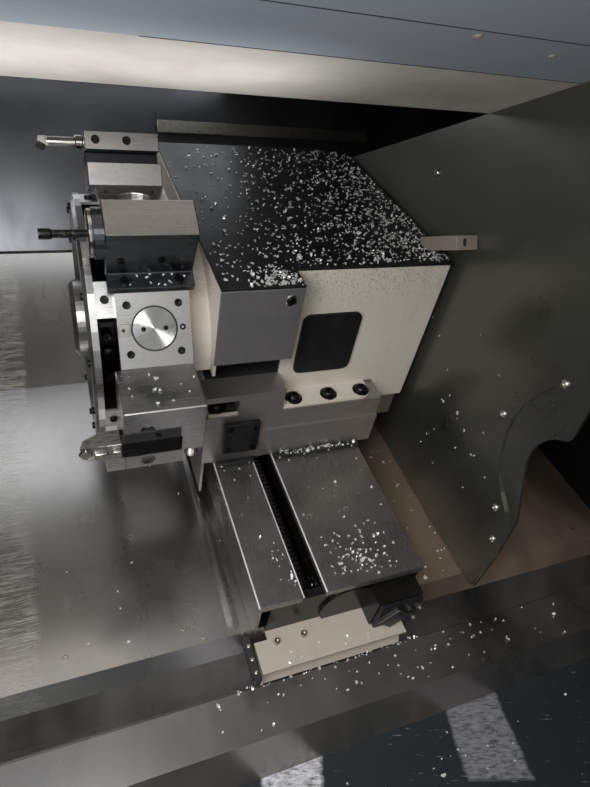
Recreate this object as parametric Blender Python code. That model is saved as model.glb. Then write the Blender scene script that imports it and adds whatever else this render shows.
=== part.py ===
"""Slant-bed CNC turning lathe, metres, +Z up, +X along the spindle towards the turret housing.

The working parts are laid out round the turret axis. Two empties stand there: machine_axis, level, and
slant_axis, tipped back by the bed's slope. In the slant frame u runs along the spindle, v up the slope
and w square to the slope. The machine stands with the turret home, up the slope and away from the chuck.
"""

import math

import bmesh
import bpy
from mathutils import Matrix, Vector

# Overall layout
SLOPE = math.radians(30)
TURRET_HEIGHT = 1.200
TURRET_X = 0.265
TURRET_Y = 0.200
FIT = 0.0003
EMBED = 0.002
PAST = 0.010
SHEET = 0.003
PANEL = 0.020

# Turret
STATIONS = 12
FACET_R = 0.178
DRUM_LEFT = -0.044
DRUM_RIGHT = 0.045
RING_R = 0.173
RING_LEFT = -0.078
RING_THICK = 0.012
HUB_R = 0.128
CAP_R = 0.055
CAP_LEFT = -0.092
NECK_R = 0.080
BLOCKS = 6
FIRST_BLOCK = math.radians(42.5)
BLOCK_INNER = 0.122
BLOCK_DROP = 0.008
BLOCK_HALF = 0.022
PLUG_R = 0.0275
PLUG_DEPTH = 0.007
PLUG_EASE = 0.0012
PIN_HOLE_R = 0.0022
PIN_HOLE_U = 0.013
PIN_HOLE_DEPTH = 0.004
STATION_BOLT_U = 0.031
STATION_BOLT_T = 0.030
STATION_BOLT_R = 0.0052
STATION_BOLT_DEPTH = 0.010

# Tool holders, heights measured out from a station face
HOLDER_LEFT = -0.052
HOLDER_RIGHT = 0.051
TURNING_HEIGHT = 0.078
TURNING_HALF = 0.048
SHANK = 0.025
SHANK_LEFT = -0.102
WEDGE = 0.017
WEDGE_DEPTH = 0.006
WEDGE_LEFT = -0.044
SLOT_RIGHT = 0.017
JAW_LEFT = -0.074
JAW_BELOW = 0.038
CORNER_DEPTH = 0.046
NOTCH_R = 0.009
NOTCH_U = -0.025
NOTCH_DEPTH = 0.014
BORING_HEIGHT = 0.080
FLANGE_HALF = 0.052
FLANGE_THICK = 0.012
TAPER_FOOT = 0.032
TAPER_TOP = 0.022
LOW_BAR_HEIGHT = 0.048
COLLAR_R = 0.0285
COLLAR_PROUD = 0.010
LOW_BAR_R = 0.0045
LOW_BAR_HEAD_R = 0.006
LOW_BAR_TIP = -0.118
SLEEVE_R = 0.016
HIGH_BASE = 0.030
HIGH_NECK = 0.046
HIGH_TOP = 0.0695
HIGH_BASE_HALF = 0.047
HIGH_NECK_HALF = 0.018
HIGH_HALF = 0.040
HIGH_BAR_HEIGHT = 0.0605
HIGH_BAR_R = 0.0065
HIGH_BAR_TIP = -0.110

# Turret housing and cross slide
HOUSING_LEFT = 0.080
HOUSING_LENGTH = 0.367
HOUSING_FRONT = -0.111
HOUSING_BACK = 0.310
HOUSING_TOP = 0.136
HOUSING_FOOT = -0.087
HOUSING_OVERHANG = 0.043
NOSE_FRONT = -0.150
NOSE_BOTTOM = -0.004
NOSE_CHEEK = 0.004
NOSE_RECESS = 0.035
COLLAR_ARCH_R = 0.135
COLLAR_ARCH_LEFT = 0.050
COLLAR_ARCH_PLAY = 0.002
FOOT_THICK = 0.004
FOOT_ROUND = 0.018
FOOT_FRONT = -0.151
FOOT_LEFT = 0.197
FOOT_RIGHT = 0.356
FOOT_PAD = 0.045
RECESS_DEPTH = 0.026
PLATE_WIDTH = 0.114
PLATE_BOTTOM = 0.017
PLATE_THICK = 0.003
TOP_COVER = 0.004
TOP_COVER_LIP = 0.002
ACCESS_LEFT = 0.220
ACCESS_WIDTH = 0.096
ACCESS_BOTTOM = -0.048
ACCESS_HEIGHT = 0.110
ACCESS_ROUND = 0.012
ACCESS_THICK = 0.004
SLIDE_LEFT = 0.075
SLIDE_RIGHT = 0.373
SLIDE_FRONT = -0.153
SLIDE_BACK = 0.285
SLIDE_STEP = -0.124
SLIDE_STEP_PROUD = 0.005
SLIDE_STEP_LEFT = 0.163
SLIDE_RISE_TOP = -0.045
SLIDE_NOTCH_TOP = -0.056
SKIRT_THICK = 0.004
SKIRT_CLEAR = 0.011
SKIRT_BACK = 0.130
X_STROKE = 0.200

# Saddle
SADDLE_TOP = -0.202
WAY_PLATE = 0.014
WAY_BACK = 0.262
SADDLE_LEFT = 0.115
SADDLE_RIGHT = 0.350
SADDLE_FRONT = -0.405
SADDLE_BACK = 0.300
WAY_LEFT = 0.095
GROOVE_LEFT = 0.158
GROOVE_RIGHT = 0.193
GROOVE_DEPTH = 0.043
SIDE_LIP = 0.004
SIDE_LIP_CLEAR = 0.001
SHELF_TOP = -0.274
SHELF_FRONT = -0.461
SHELF_RIGHT = 0.321
SHELF_THICK = 0.005
APRON_BOTTOM = -0.500
APRON_BACK = 0.020
APRON_THICK = 0.016
CAP_U = 0.240
CAP_W = -0.250
END_CAP_R = 0.045
END_CAP_PROUD = 0.004
VALVE_LEFT = 0.268
VALVE_RIGHT = 0.342
VALVE_PROUD = 0.032
VALVE_BOTTOM = -0.272
VALVE_TOP = -0.212
Z_STROKE = 0.300

# Way covers and bed
COVER_CLEAR = 0.0085
COVER_FRONT = -0.400
COVER_REAR = 0.1565
COVER_LIP = 0.033
REAR_FACET_TOP_Z = 0.0915
REAR_FACET_SLOPE = math.radians(60)
LEFT_COVER_EDGE = -0.260
FIXED_COVER_EDGE = -0.240
FIXED_COVER_GAP = 0.002
RIGHT_COVER_EDGE = 0.790
BED_TOP = -0.335
BED_LEFT = -1.340
BED_RIGHT = 0.700
BED_FRONT_V = -0.425
BED_BACK_V = 0.330
BED_BASE_Z = -1.180
PLINTH_FRONT = -0.850
PLINTH_TOP = -1.080
FOOT_R = 0.050
RAIL_FRONT_V = -0.330
RAIL_REAR_V = 0.130
RAIL_HALF = 0.017
RAIL_TOP = -0.3105
Z_SCREW_V = -0.100
Z_SCREW_R = 0.016
Z_SCREW_LEFT = -0.600
CHANNEL_HALF = 0.040
CHANNEL_FLOOR = -0.380
X_SCREW_R = 0.0125
X_SCREW_W = -0.226
SERVO_HALF = 0.055
SERVO_LENGTH = 0.115

# Spindle line
SPINDLE_V = -0.430
SPINDLE_R = 0.070
SPINDLE_BORE = 0.026
NOSE = -0.600
NOSE_R = 0.0855
HEAD_LEFT = -1.200
HEAD_RIGHT = -0.620
HEAD_ROUND = 0.150
SPINDLE_TAIL = -1.335
TAIL_R = 0.045
CHUCK_R = 0.105
CHUCK_FACE = -0.495
CHUCK_BORE = 0.026
JAWS = 3
JAW_HALF = 0.0107
JAW_DEPTH = 0.030
JAW_INNER = 0.0345
JAW_OUTER = 0.098
JAW_STICKOUT = 0.040
JAW_STROKE = 0.004
PULLEY_LEFT = -1.290
PULLEY_WIDTH = 0.060
SPINDLE_PULLEY_R = 0.085
MOTOR_PULLEY_R = 0.065
MOTOR_V = 0.090
MOTOR_HALF = 0.105
MOTOR_LEFT = -1.100
MOTOR_RIGHT = -0.760
MOTOR_SHAFT_R = 0.019
BELT = 0.006

# Enclosure, level frame
LEFT_END = -1.380
RIGHT_END = 0.850
FRONT_PLANE = -0.905
BACK_PLANE = 0.620
SKIRT_BOTTOM = -1.150
ROOF_Z = 0.470
CANOPY_Z = 0.262
CANOPY_REAR = -0.213
REAR_WALL_Y = 0.420
REAR_WALL_BOTTOM = 0.097
RAIL_STRIP_Z = 0.345
RAIL_STRIP_HEIGHT = 0.027
RAIL_STRIP_PROUD = 0.012
GUARD_U = -0.564
GUARD_HOLE = 0.112
WALL_CLEAR = 0.012
WALL_OVER_COVER = 0.0025
WALL_LAP = 0.0215
ARC_R = 0.141
ARC_Y = -0.420
ARC_Z = -0.215
ARC_DROP = 0.0225
ARC_TOE = 0.0079
ARC_TOE_DROP = 0.049
BEHIND_SHIFT = 0.030
BEHIND_ARC_R = 0.066
OPENING_LEFT = -0.520
OPENING_RIGHT = 0.320
OPENING_BOTTOM = -0.450
OPENING_TOP = 0.300
DOOR_OVERLAP = 0.020
DOOR_THICK = 0.035
DOOR_GAP = 0.006
DOOR_FRAME = 0.130
DOOR_STROKE = 0.830
WINDOW_ROUND = 0.030
GLASS = 0.008
TRACK = 0.018
TRACK_DROP = 0.012
DOOR_RUN = 0.0005
HANDLE_LENGTH = 0.300
HANDLE_REACH = 0.050
HANDLE_R = 0.012
BAR_HOLE_R = 0.050
PAN_Z = -0.610
PAN_LIP = 0.075
STRIP_TOP_Y = -0.206
STRIP_TOP_Z = -0.458
GUTTER_Y = -0.222
GUTTER_Z = -0.518
SILL_TOP_Y = -0.234
SILL_TOP_Z = -0.511
SILL_FRONT_Y = -0.291
LAMP_U = -0.430
LAMP_LENGTH = 0.420
LAMP_Y = -0.720
LAMP_R = 0.024
TANK_TOP = -0.660
TANK_LEFT = -0.560

# Operator panel
DESK_LEFT = 0.410
DESK_RIGHT = 0.800
DESK_BOTTOM = -0.260
DESK_TOP = 0.260
DESK_STANDOFF = 0.007
DESK_DEPTH = 0.073
MOUNT_WIDTH = 0.050
MOUNT_HALF = 0.060
SCREEN_WIDTH = 0.260
SCREEN_HEIGHT = 0.190
SCREEN_TOP = 0.225
STOP_R = 0.020
STOP_PROUD = 0.035
STOP_TRAVEL = 0.004
DIAL_R = 0.022
BUTTON_R = 0.012
STEM_R = 0.008

COS = math.cos(SLOPE)
SIN = math.sin(SLOPE)
SWING_R = math.hypot(FACET_R + TURNING_HEIGHT, TURNING_HALF)
COVER_W = -(SWING_R + COVER_CLEAR)
WALL_U = HOUSING_LEFT + HOUSING_LENGTH + WALL_CLEAR
DESK_BACK = FRONT_PLANE - DESK_STANDOFF


def level(v, w):
    """A point of the slant frame, seen along the spindle, as (y, z) in the level frame."""
    return (v * COS - w * SIN, v * SIN + w * COS)


def clear_scene():
    for obj in list(bpy.data.objects):
        bpy.data.objects.remove(obj, do_unlink=True)


def make_material(name, colour, roughness, metallic):
    material = bpy.data.materials.new(name)
    material.use_nodes = True
    shader = material.node_tree.nodes["Principled BSDF"]
    shader.inputs["Base Color"].default_value = (*colour, 1.0)
    shader.inputs["Roughness"].default_value = roughness
    shader.inputs["Metallic"].default_value = metallic
    material.diffuse_color = (*colour, 1.0)
    return material


def make_empty(name, location, tilt=0.0, parent=None):
    empty = bpy.data.objects.new(name, None)
    empty.empty_display_size = 0.1
    empty.location = location
    empty.rotation_euler = (tilt, 0.0, 0.0)
    empty.parent = parent
    bpy.context.scene.collection.objects.link(empty)
    return empty


def finish_mesh(shape):
    bmesh.ops.recalc_face_normals(shape, faces=shape.faces)
    return shape


def box(low, high):
    """A block between two corners."""
    shape = bmesh.new()
    size = [h - l for l, h in zip(low, high)]
    centre = [(h + l) / 2 for l, h in zip(low, high)]
    bmesh.ops.create_cube(shape, size=1.0)
    bmesh.ops.scale(shape, vec=size, verts=shape.verts)
    bmesh.ops.translate(shape, vec=centre, verts=shape.verts)
    return shape


PLANES = {
    "yz": lambda a, b, h: (h, a, b),
    "xz": lambda a, b, h: (a, h, b),
    "xy": lambda a, b, h: (a, b, h),
}


def prism(outline, low, high, plane="yz"):
    """A closed outline in one plane, pushed along the third axis from low to high."""
    shape = bmesh.new()
    place = PLANES[plane]
    ends = [[shape.verts.new(place(a, b, h)) for a, b in outline] for h in (low, high)]
    count = len(outline)
    for i in range(count):
        j = (i + 1) % count
        shape.faces.new((ends[0][i], ends[0][j], ends[1][j], ends[1][i]))
    shape.faces.new(ends[0])
    shape.faces.new(ends[1])
    return finish_mesh(shape)


def turned(profile, centre=(0.0, 0.0), segments=32, plane="yz"):
    """A profile of (radius, height) pairs turned about the axis square to the plane, through centre.

    A profile that starts and ends on the axis is a solid body; one that doesn't is closed on itself as a ring.
    """
    shape = bmesh.new()
    place = PLANES[plane]
    rings = []
    for radius, height in profile:
        if radius == 0.0:
            rings.append([shape.verts.new(place(*centre, height))])
            continue
        ring = []
        for i in range(segments):
            angle = 2 * math.pi * i / segments
            point = (centre[0] + radius * math.cos(angle), centre[1] + radius * math.sin(angle))
            ring.append(shape.verts.new(place(*point, height)))
        rings.append(ring)
    pairs = list(zip(rings, rings[1:]))
    if profile[0][0] > 0.0:
        pairs.append((rings[-1], rings[0]))
    for one, two in pairs:
        for i in range(segments):
            j = (i + 1) % segments
            corners = [one[i % len(one)], one[j % len(one)], two[j % len(two)], two[i % len(two)]]
            corners = list(dict.fromkeys(corners))
            if len(corners) > 2:
                shape.faces.new(corners)
    return finish_mesh(shape)


def disc(radius, low, high, centre=(0.0, 0.0), segments=32, plane="yz"):
    return turned([(0.0, low), (radius, low), (radius, high), (0.0, high)], centre, segments, plane)


def merged(shapes):
    """Shapes that don't meet, kept in one mesh."""
    whole = bmesh.new()
    for shape in shapes:
        mesh = bpy.data.meshes.new("part of a group")
        shape.to_mesh(mesh)
        shape.free()
        whole.from_mesh(mesh)
        bpy.data.meshes.remove(mesh)
    return whole


def moved(shape, matrix):
    bmesh.ops.transform(shape, matrix=matrix, verts=shape.verts)
    return shape


def tilted(shape):
    """A shape given in the slant frame, turned into the level frame."""
    return moved(shape, Matrix.Rotation(SLOPE, 4, "X"))


def facet_matrix(angle):
    """From a station's own frame, with z out of the station face, to the turret's frame.

    The angle runs from straight down the slope towards the slope's upward normal.
    """
    return Matrix.Rotation(math.pi / 2 - angle, 4, "X")


def link_mesh(name, shape, parent):
    mesh = bpy.data.meshes.new(name)
    shape.to_mesh(mesh)
    shape.free()
    obj = bpy.data.objects.new(name, mesh)
    obj.parent = parent
    bpy.context.scene.collection.objects.link(obj)
    return obj


def add_helper(obj, shape, operation):
    helper = link_mesh(f"{obj.name}_{operation.lower()}_{len(obj.modifiers)}", shape, obj.parent)
    helper.hide_render = True
    helper.display_type = "WIRE"
    modifier = obj.modifiers.new(operation.title(), "BOOLEAN")
    modifier.operation = operation
    modifier.object = helper


def solid(name, material, parent, shape, joined=(), cut=(), bevel=0.0, smooth=False):
    """One named piece: a first shape, its edges eased, with other shapes joined on and cut away."""
    obj = link_mesh(name, shape, parent)
    obj.data.materials.append(material)
    if smooth:
        obj.data.shade_smooth()
        obj.data.set_sharp_from_angle(angle=math.radians(35))
    if bevel:
        modifier = obj.modifiers.new("Eased edges", "BEVEL")
        modifier.width = bevel
        modifier.segments = 1
        modifier.limit_method = "ANGLE"
        modifier.angle_limit = math.radians(40)
    for extra in joined:
        add_helper(obj, extra, "UNION")
    for extra in cut:
        add_helper(obj, extra, "DIFFERENCE")
    return obj


def arc(centre, radius, start, end, steps):
    """Points on a circle, from one angle to another in degrees."""
    points = []
    for i in range(steps + 1):
        angle = math.radians(start + (end - start) * i / steps)
        points.append((centre[0] + radius * math.cos(angle), centre[1] + radius * math.sin(angle)))
    return points


def rounded(low, high, radius, steps=4):
    """A rectangle with round corners."""
    points = []
    corners = ((high, high, 0), (low, high, 90), (low, low, 180), (high, low, 270))
    for side, (x_from, y_from, start) in enumerate(corners):
        x = x_from[0] - radius if side in (0, 3) else x_from[0] + radius
        y = y_from[1] - radius if side in (0, 1) else y_from[1] + radius
        points += arc((x, y), radius, start, start + 90, steps)
    return points


def offset_path(path, distance):
    """An open path moved to its left by a distance, with mitred corners."""
    result = []
    for i, point in enumerate(path):
        here = Vector(point)
        before = (here - Vector(path[i - 1])).normalized() if i else None
        after = (Vector(path[i + 1]) - here).normalized() if i + 1 < len(path) else None
        sides = [Vector((-way.y, way.x)) for way in (before, after) if way is not None]
        middle = sum(sides, Vector((0.0, 0.0))).normalized()
        result.append(tuple(here + middle * (distance / middle.dot(sides[0]))))
    return result


def sheet_outline(path, near, far):
    """The outline of a folded sheet that lies between two offsets of a path."""
    return offset_path(path, near) + offset_path(path, far)[::-1]


def cover_path():
    """The moving way covers' outer face, from the front lip's foot up to the rear edge, as (y, z)."""
    front = level(COVER_FRONT, COVER_W)
    fold = level(COVER_REAR, COVER_W)
    rise = REAR_FACET_TOP_Z - fold[1]
    rear = (fold[0] + rise / math.tan(REAR_FACET_SLOPE), REAR_FACET_TOP_Z)
    return [(front[0], front[1] - COVER_LIP), front, fold, rear]


def make_turret(parent, steel, bright):
    half = math.pi / STATIONS
    corner = FACET_R / math.cos(half)
    outline = []
    for i in range(STATIONS):
        angle = 2 * math.pi * i / STATIONS + half
        outline.append((corner * math.cos(angle), corner * math.sin(angle)))
    spindle_side = RING_LEFT + RING_THICK
    profile = [
        (0.0, CAP_LEFT),
        (CAP_R - 0.006, CAP_LEFT),
        (CAP_R, CAP_LEFT + 0.006),
        (CAP_R, RING_LEFT + 0.008),
        (HUB_R + 0.014, RING_LEFT + 0.008),
        (HUB_R + 0.020, RING_LEFT),
        (RING_R - 0.004, RING_LEFT),
        (RING_R, RING_LEFT + 0.004),
        (RING_R, spindle_side),
        (HUB_R, spindle_side),
        (HUB_R, DRUM_RIGHT - 0.010),
        (NECK_R, DRUM_RIGHT - 0.010),
        (NECK_R, HOUSING_LEFT - FIT),
        (0.0, HOUSING_LEFT - FIT),
    ]
    blocks = []
    for i in range(BLOCKS):
        low = (spindle_side - FIT, -BLOCK_HALF, BLOCK_INNER)
        high = (DRUM_LEFT + FIT, BLOCK_HALF, FACET_R - BLOCK_DROP)
        blocks.append(moved(box(low, high), facet_matrix(FIRST_BLOCK + 2 * math.pi * i / BLOCKS)))
    pockets = []
    outside = FACET_R + PAST
    bore = [
        (0.0, FACET_R - PLUG_DEPTH),
        (PLUG_R + FIT, FACET_R - PLUG_DEPTH),
        (PLUG_R + FIT, FACET_R - PLUG_EASE),
        (PLUG_R + PLUG_EASE, FACET_R + FIT),
        (PLUG_R + PLUG_EASE, outside),
        (0.0, outside),
    ]
    for i in range(STATIONS):
        matrix = facet_matrix(2 * math.pi * i / STATIONS)
        pockets.append(moved(turned(bore, segments=24, plane="xy"), matrix))
        for u in (-STATION_BOLT_U, STATION_BOLT_U):
            for t in (-STATION_BOLT_T, STATION_BOLT_T):
                hole = disc(STATION_BOLT_R, FACET_R - STATION_BOLT_DEPTH, outside, (u, t), 8, "xy")
                pockets.append(moved(hole, matrix))
    drum = prism(outline, DRUM_LEFT, DRUM_RIGHT)
    joined = [turned(profile, segments=48), merged(blocks)]
    solid("turret_drum", steel, parent, drum, joined, [merged(pockets)], smooth=True)

    plug_profile = [
        (0.0, FACET_R - PLUG_DEPTH + FIT),
        (PLUG_R, FACET_R - PLUG_DEPTH + FIT),
        (PLUG_R, FACET_R - PLUG_EASE),
        (PLUG_R - PLUG_EASE, FACET_R),
        (0.0, FACET_R),
    ]
    plug = turned(plug_profile, segments=40, plane="xy")
    pin_holes = [
        disc(PIN_HOLE_R, FACET_R - PIN_HOLE_DEPTH, outside, (u, 0.0), 8, "xy") for u in (-PIN_HOLE_U, PIN_HOLE_U)
    ]
    turn = facet_matrix(2 * math.pi / STATIONS)
    solid("station_plug", bright, parent, moved(plug, turn), cut=[moved(merged(pin_holes), turn)], smooth=True)


def make_turning_holder(parent, steel, bright):
    turn = facet_matrix(0.0)
    foot = FACET_R + FIT
    top = FACET_R + TURNING_HEIGHT
    seat = top - SHANK - FIT
    block = box((HOLDER_LEFT, -TURNING_HALF, foot), (DRUM_RIGHT, TURNING_HALF, top))
    side = -SHANK - FIT
    lower_jaw = box((JAW_LEFT, -TURNING_HALF, top - JAW_BELOW), (HOLDER_LEFT + EMBED, side, top - PLUG_EASE))
    slot = box((JAW_LEFT - PAST, side, seat), (SLOT_RIGHT, FIT, top + PAST))
    wedge_seat = box((WEDGE_LEFT, FIT - EMBED, top - WEDGE_DEPTH), (SLOT_RIGHT - EMBED, WEDGE, top + PAST))
    corner = box((SLOT_RIGHT + EMBED, -TURNING_HALF - PAST, top - CORNER_DEPTH), (DRUM_RIGHT + PAST, side, top + PAST))
    notches = [
        disc(NOTCH_R, top - NOTCH_DEPTH, top + PAST, (NOTCH_U, t), 12, "xy") for t in (WEDGE, side - NOTCH_R)
    ]
    cuts = [moved(shape, turn) for shape in (slot, wedge_seat, corner, merged(notches))]
    solid("turning_holder", steel, parent, moved(block, turn), [moved(lower_jaw, turn)], cuts, bevel=0.0012)

    shank = box((HOLDER_LEFT - 0.030, -SHANK, seat + FIT), (SLOT_RIGHT - EMBED, 0.0, top))
    head = [
        (HOLDER_LEFT - 0.031, seat + 0.004),
        (HOLDER_LEFT - 0.020, seat + 0.004),
        (HOLDER_LEFT - 0.020, top),
        (HOLDER_LEFT - 0.034, top + 0.002),
        (SHANK_LEFT, top - 0.002),
        (SHANK_LEFT + 0.004, seat + 0.012),
    ]
    nose = prism(head, -SHANK + 0.004, -0.0002, "xz")
    solid("turning_tool", bright, parent, moved(shank, turn), [moved(nose, turn)], bevel=0.0008)


def make_boring_holders(parent, steel, bright):
    foot = FACET_R + FIT
    turn = facet_matrix(math.radians(60))
    flange_top = FACET_R + FLANGE_THICK
    top = FACET_R + BORING_HEIGHT
    tee = [
        (-FLANGE_HALF, foot),
        (FLANGE_HALF, foot),
        (FLANGE_HALF, flange_top),
        (TAPER_FOOT, flange_top),
        (TAPER_TOP, top),
        (-TAPER_TOP, top),
        (-TAPER_FOOT, flange_top),
        (-FLANGE_HALF, flange_top),
    ]
    body = prism(tee, HOLDER_LEFT, HOLDER_RIGHT)
    centre = (0.0, FACET_R + LOW_BAR_HEIGHT)
    collar = disc(COLLAR_R, HOLDER_LEFT - COLLAR_PROUD, HOLDER_LEFT + 0.004, centre, 32)
    bore = disc(SLEEVE_R + FIT, HOLDER_LEFT - 0.02, HOLDER_RIGHT + 0.01, centre, 24)
    solid(
        "boring_holder_low", steel, parent, moved(body, turn), [moved(collar, turn)],
        [moved(bore, turn)], bevel=0.0012,
    )
    sleeve_left = HOLDER_LEFT - COLLAR_PROUD - 0.004
    bar = turned(
        [
            (0.0, LOW_BAR_TIP),
            (LOW_BAR_HEAD_R, LOW_BAR_TIP),
            (LOW_BAR_HEAD_R, LOW_BAR_TIP + 0.012),
            (LOW_BAR_R, LOW_BAR_TIP + 0.014),
            (LOW_BAR_R, sleeve_left),
            (SLEEVE_R, sleeve_left),
            (SLEEVE_R, HOLDER_RIGHT - 0.006),
            (0.0, HOLDER_RIGHT - 0.006),
        ],
        centre, 24,
    )
    solid("boring_bar_low", bright, parent, moved(bar, turn), smooth=True)

    turn = facet_matrix(math.radians(120))
    base_top = FACET_R + HIGH_BASE
    neck_top = FACET_R + HIGH_NECK
    crown = FACET_R + HIGH_TOP
    stack = [
        (-HIGH_BASE_HALF, foot),
        (HIGH_BASE_HALF, foot),
        (HIGH_BASE_HALF, base_top),
        (HIGH_NECK_HALF, base_top),
        (HIGH_NECK_HALF, neck_top),
        (HIGH_HALF, neck_top),
        (HIGH_HALF, crown),
        (-HIGH_HALF, crown),
        (-HIGH_HALF, neck_top),
        (-HIGH_NECK_HALF, neck_top),
        (-HIGH_NECK_HALF, base_top),
        (-HIGH_BASE_HALF, base_top),
    ]
    body = prism(stack, HOLDER_LEFT, DRUM_RIGHT)
    centre = (0.0, FACET_R + HIGH_BAR_HEIGHT)
    bore = disc(HIGH_BAR_R + FIT, HOLDER_LEFT - 0.01, DRUM_RIGHT + 0.01, centre, 16)
    solid("boring_holder_high", steel, parent, moved(body, turn), cut=[moved(bore, turn)], bevel=0.001)
    bar = disc(HIGH_BAR_R, HIGH_BAR_TIP + 0.012, DRUM_RIGHT - 0.006, centre, 16)
    tip_y = centre[1]
    nose = [
        (HIGH_BAR_TIP, tip_y - 0.006),
        (HIGH_BAR_TIP + 0.014, tip_y - 0.006),
        (HIGH_BAR_TIP + 0.014, tip_y + 0.006),
        (HIGH_BAR_TIP + 0.002, tip_y + 0.006),
    ]
    tip = prism(nose, -0.0055, 0.0055, "xz")
    solid("boring_bar_high", bright, parent, moved(bar, turn), [moved(tip, turn)], smooth=True)


def make_housing(parent, cream, black, steel, slide_steel):
    right = HOUSING_LEFT + HOUSING_LENGTH
    front = FOOT_FRONT
    under = HOUSING_FOOT + FIT
    overhang_left = SLIDE_RIGHT + 2 * EMBED
    overhang_bottom = HOUSING_FOOT - HOUSING_OVERHANG
    side_view = [
        (HOUSING_LEFT, under),
        (overhang_left, under),
        (overhang_left, overhang_bottom),
        (right, overhang_bottom),
        (right, HOUSING_TOP),
        (HOUSING_LEFT, HOUSING_TOP),
    ]
    body = prism(side_view, HOUSING_FRONT, HOUSING_BACK, "xz")
    foot_top = HOUSING_FOOT + FOOT_THICK
    foot_back = HOUSING_FRONT + 2 * EMBED
    foot = prism(
        [(FOOT_LEFT, front), (FOOT_RIGHT - FOOT_ROUND, front)]
        + arc((FOOT_RIGHT - FOOT_ROUND, front + FOOT_ROUND), FOOT_ROUND, -90, 0, 4)
        + [(FOOT_RIGHT, foot_back), (FOOT_LEFT, foot_back)],
        under, foot_top, "xy",
    )
    pad = box((HOUSING_LEFT, front, under), (HOUSING_LEFT + FOOT_PAD, foot_back, foot_top))
    nose_right = HOUSING_LEFT + PLATE_WIDTH
    nose = box((HOUSING_LEFT, NOSE_FRONT, NOSE_BOTTOM), (nose_right, foot_back, HOUSING_TOP))
    arch_inner = NECK_R + COLLAR_ARCH_PLAY
    lean = math.degrees(math.asin(-NOSE_BOTTOM / COLLAR_ARCH_R))
    inner_lean = math.degrees(math.asin(-NOSE_BOTTOM / arch_inner))
    arch = prism(
        arc((0.0, 0.0), COLLAR_ARCH_R, -lean, 180 + lean, 20) + arc((0.0, 0.0), arch_inner, 180 + inner_lean, -inner_lean, 20),
        COLLAR_ARCH_LEFT, HOUSING_LEFT + EMBED,
    )
    under_nose = box(
        (HOUSING_LEFT - PAST, HOUSING_FRONT - PAST, SLIDE_RISE_TOP),
        (nose_right, HOUSING_FRONT + RECESS_DEPTH, NOSE_BOTTOM),
    )
    behind_plate = box(
        (HOUSING_LEFT + NOSE_CHEEK, NOSE_FRONT - PAST, NOSE_BOTTOM - EMBED),
        (nose_right + PAST, NOSE_FRONT + NOSE_RECESS, PLATE_BOTTOM - EMBED),
    )
    solid(
        "turret_housing", cream, parent, body, [foot, pad, nose, arch], [under_nose, behind_plate],
        bevel=0.003,
    )

    cover_front = HOUSING_FRONT - TOP_COVER_LIP
    cover = prism(
        [(HOUSING_LEFT, SLIDE_FRONT), (nose_right, SLIDE_FRONT), (nose_right, cover_front), (right, cover_front),
         (right, HOUSING_BACK), (HOUSING_LEFT, HOUSING_BACK)],
        HOUSING_TOP + FIT, HOUSING_TOP + FIT + TOP_COVER, "xy",
    )
    solid("housing_top_cover", black, parent, cover, bevel=0.001)

    plate = box(
        (HOUSING_LEFT, NOSE_FRONT - FIT - PLATE_THICK, PLATE_BOTTOM), (nose_right, NOSE_FRONT - FIT, HOUSING_TOP)
    )
    solid("front_guard_plate", steel, parent, plate, bevel=0.0008)

    low = (ACCESS_LEFT, ACCESS_BOTTOM)
    high = (ACCESS_LEFT + ACCESS_WIDTH, ACCESS_BOTTOM + ACCESS_HEIGHT)
    outline = rounded(low, high, ACCESS_ROUND)
    cover = prism(outline, HOUSING_FRONT - FIT - ACCESS_THICK, HOUSING_FRONT - FIT, "xz")
    solid("access_cover", black, parent, cover, smooth=True)

    slide_foot = SADDLE_TOP + WAY_PLATE + FIT
    base = box((SLIDE_LEFT, SLIDE_FRONT, slide_foot), (SLIDE_RIGHT, SLIDE_BACK, HOUSING_FOOT))
    step = box(
        (SLIDE_STEP_LEFT, SLIDE_FRONT - SLIDE_STEP_PROUD, slide_foot + 0.004),
        (SLIDE_RIGHT, SLIDE_FRONT + 0.01, SLIDE_STEP),
    )
    skirt = box(
        (SLIDE_LEFT, SLIDE_FRONT, COVER_W + SKIRT_CLEAR),
        (SLIDE_LEFT + SKIRT_THICK, SKIRT_BACK, slide_foot + 0.01),
    )
    side_block = box(
        (SLIDE_RIGHT - 0.002, -0.100, slide_foot + 0.002),
        (right - 0.004, 0.100, HOUSING_FOOT - HOUSING_OVERHANG - FIT),
    )
    groove_middle = (GROOVE_LEFT + GROOVE_RIGHT) / 2
    nut_half = (GROOVE_RIGHT - GROOVE_LEFT) / 2 - 0.002
    nut = box(
        (groove_middle - nut_half, 0.05, X_SCREW_W - X_SCREW_R - 0.003),
        (groove_middle + nut_half, 0.11, slide_foot + 0.01),
    )
    bore = disc(X_SCREW_R + 0.0005, 0.03, 0.13, (groove_middle, X_SCREW_W), 24, "xz")
    rise = box(
        (SLIDE_LEFT, SLIDE_FRONT, HOUSING_FOOT - PAST), (FOOT_LEFT - FIT, HOUSING_FRONT - FIT, SLIDE_RISE_TOP)
    )
    pad_notch = box(
        (SLIDE_LEFT - PAST, SLIDE_FRONT - PAST, HOUSING_FOOT),
        (HOUSING_LEFT + FOOT_PAD + FIT, HOUSING_FRONT + PAST, SLIDE_NOTCH_TOP),
    )
    solid("slide_base", slide_steel, parent, base, [step, skirt, side_block, nut, rise], [bore, pad_notch])


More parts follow.
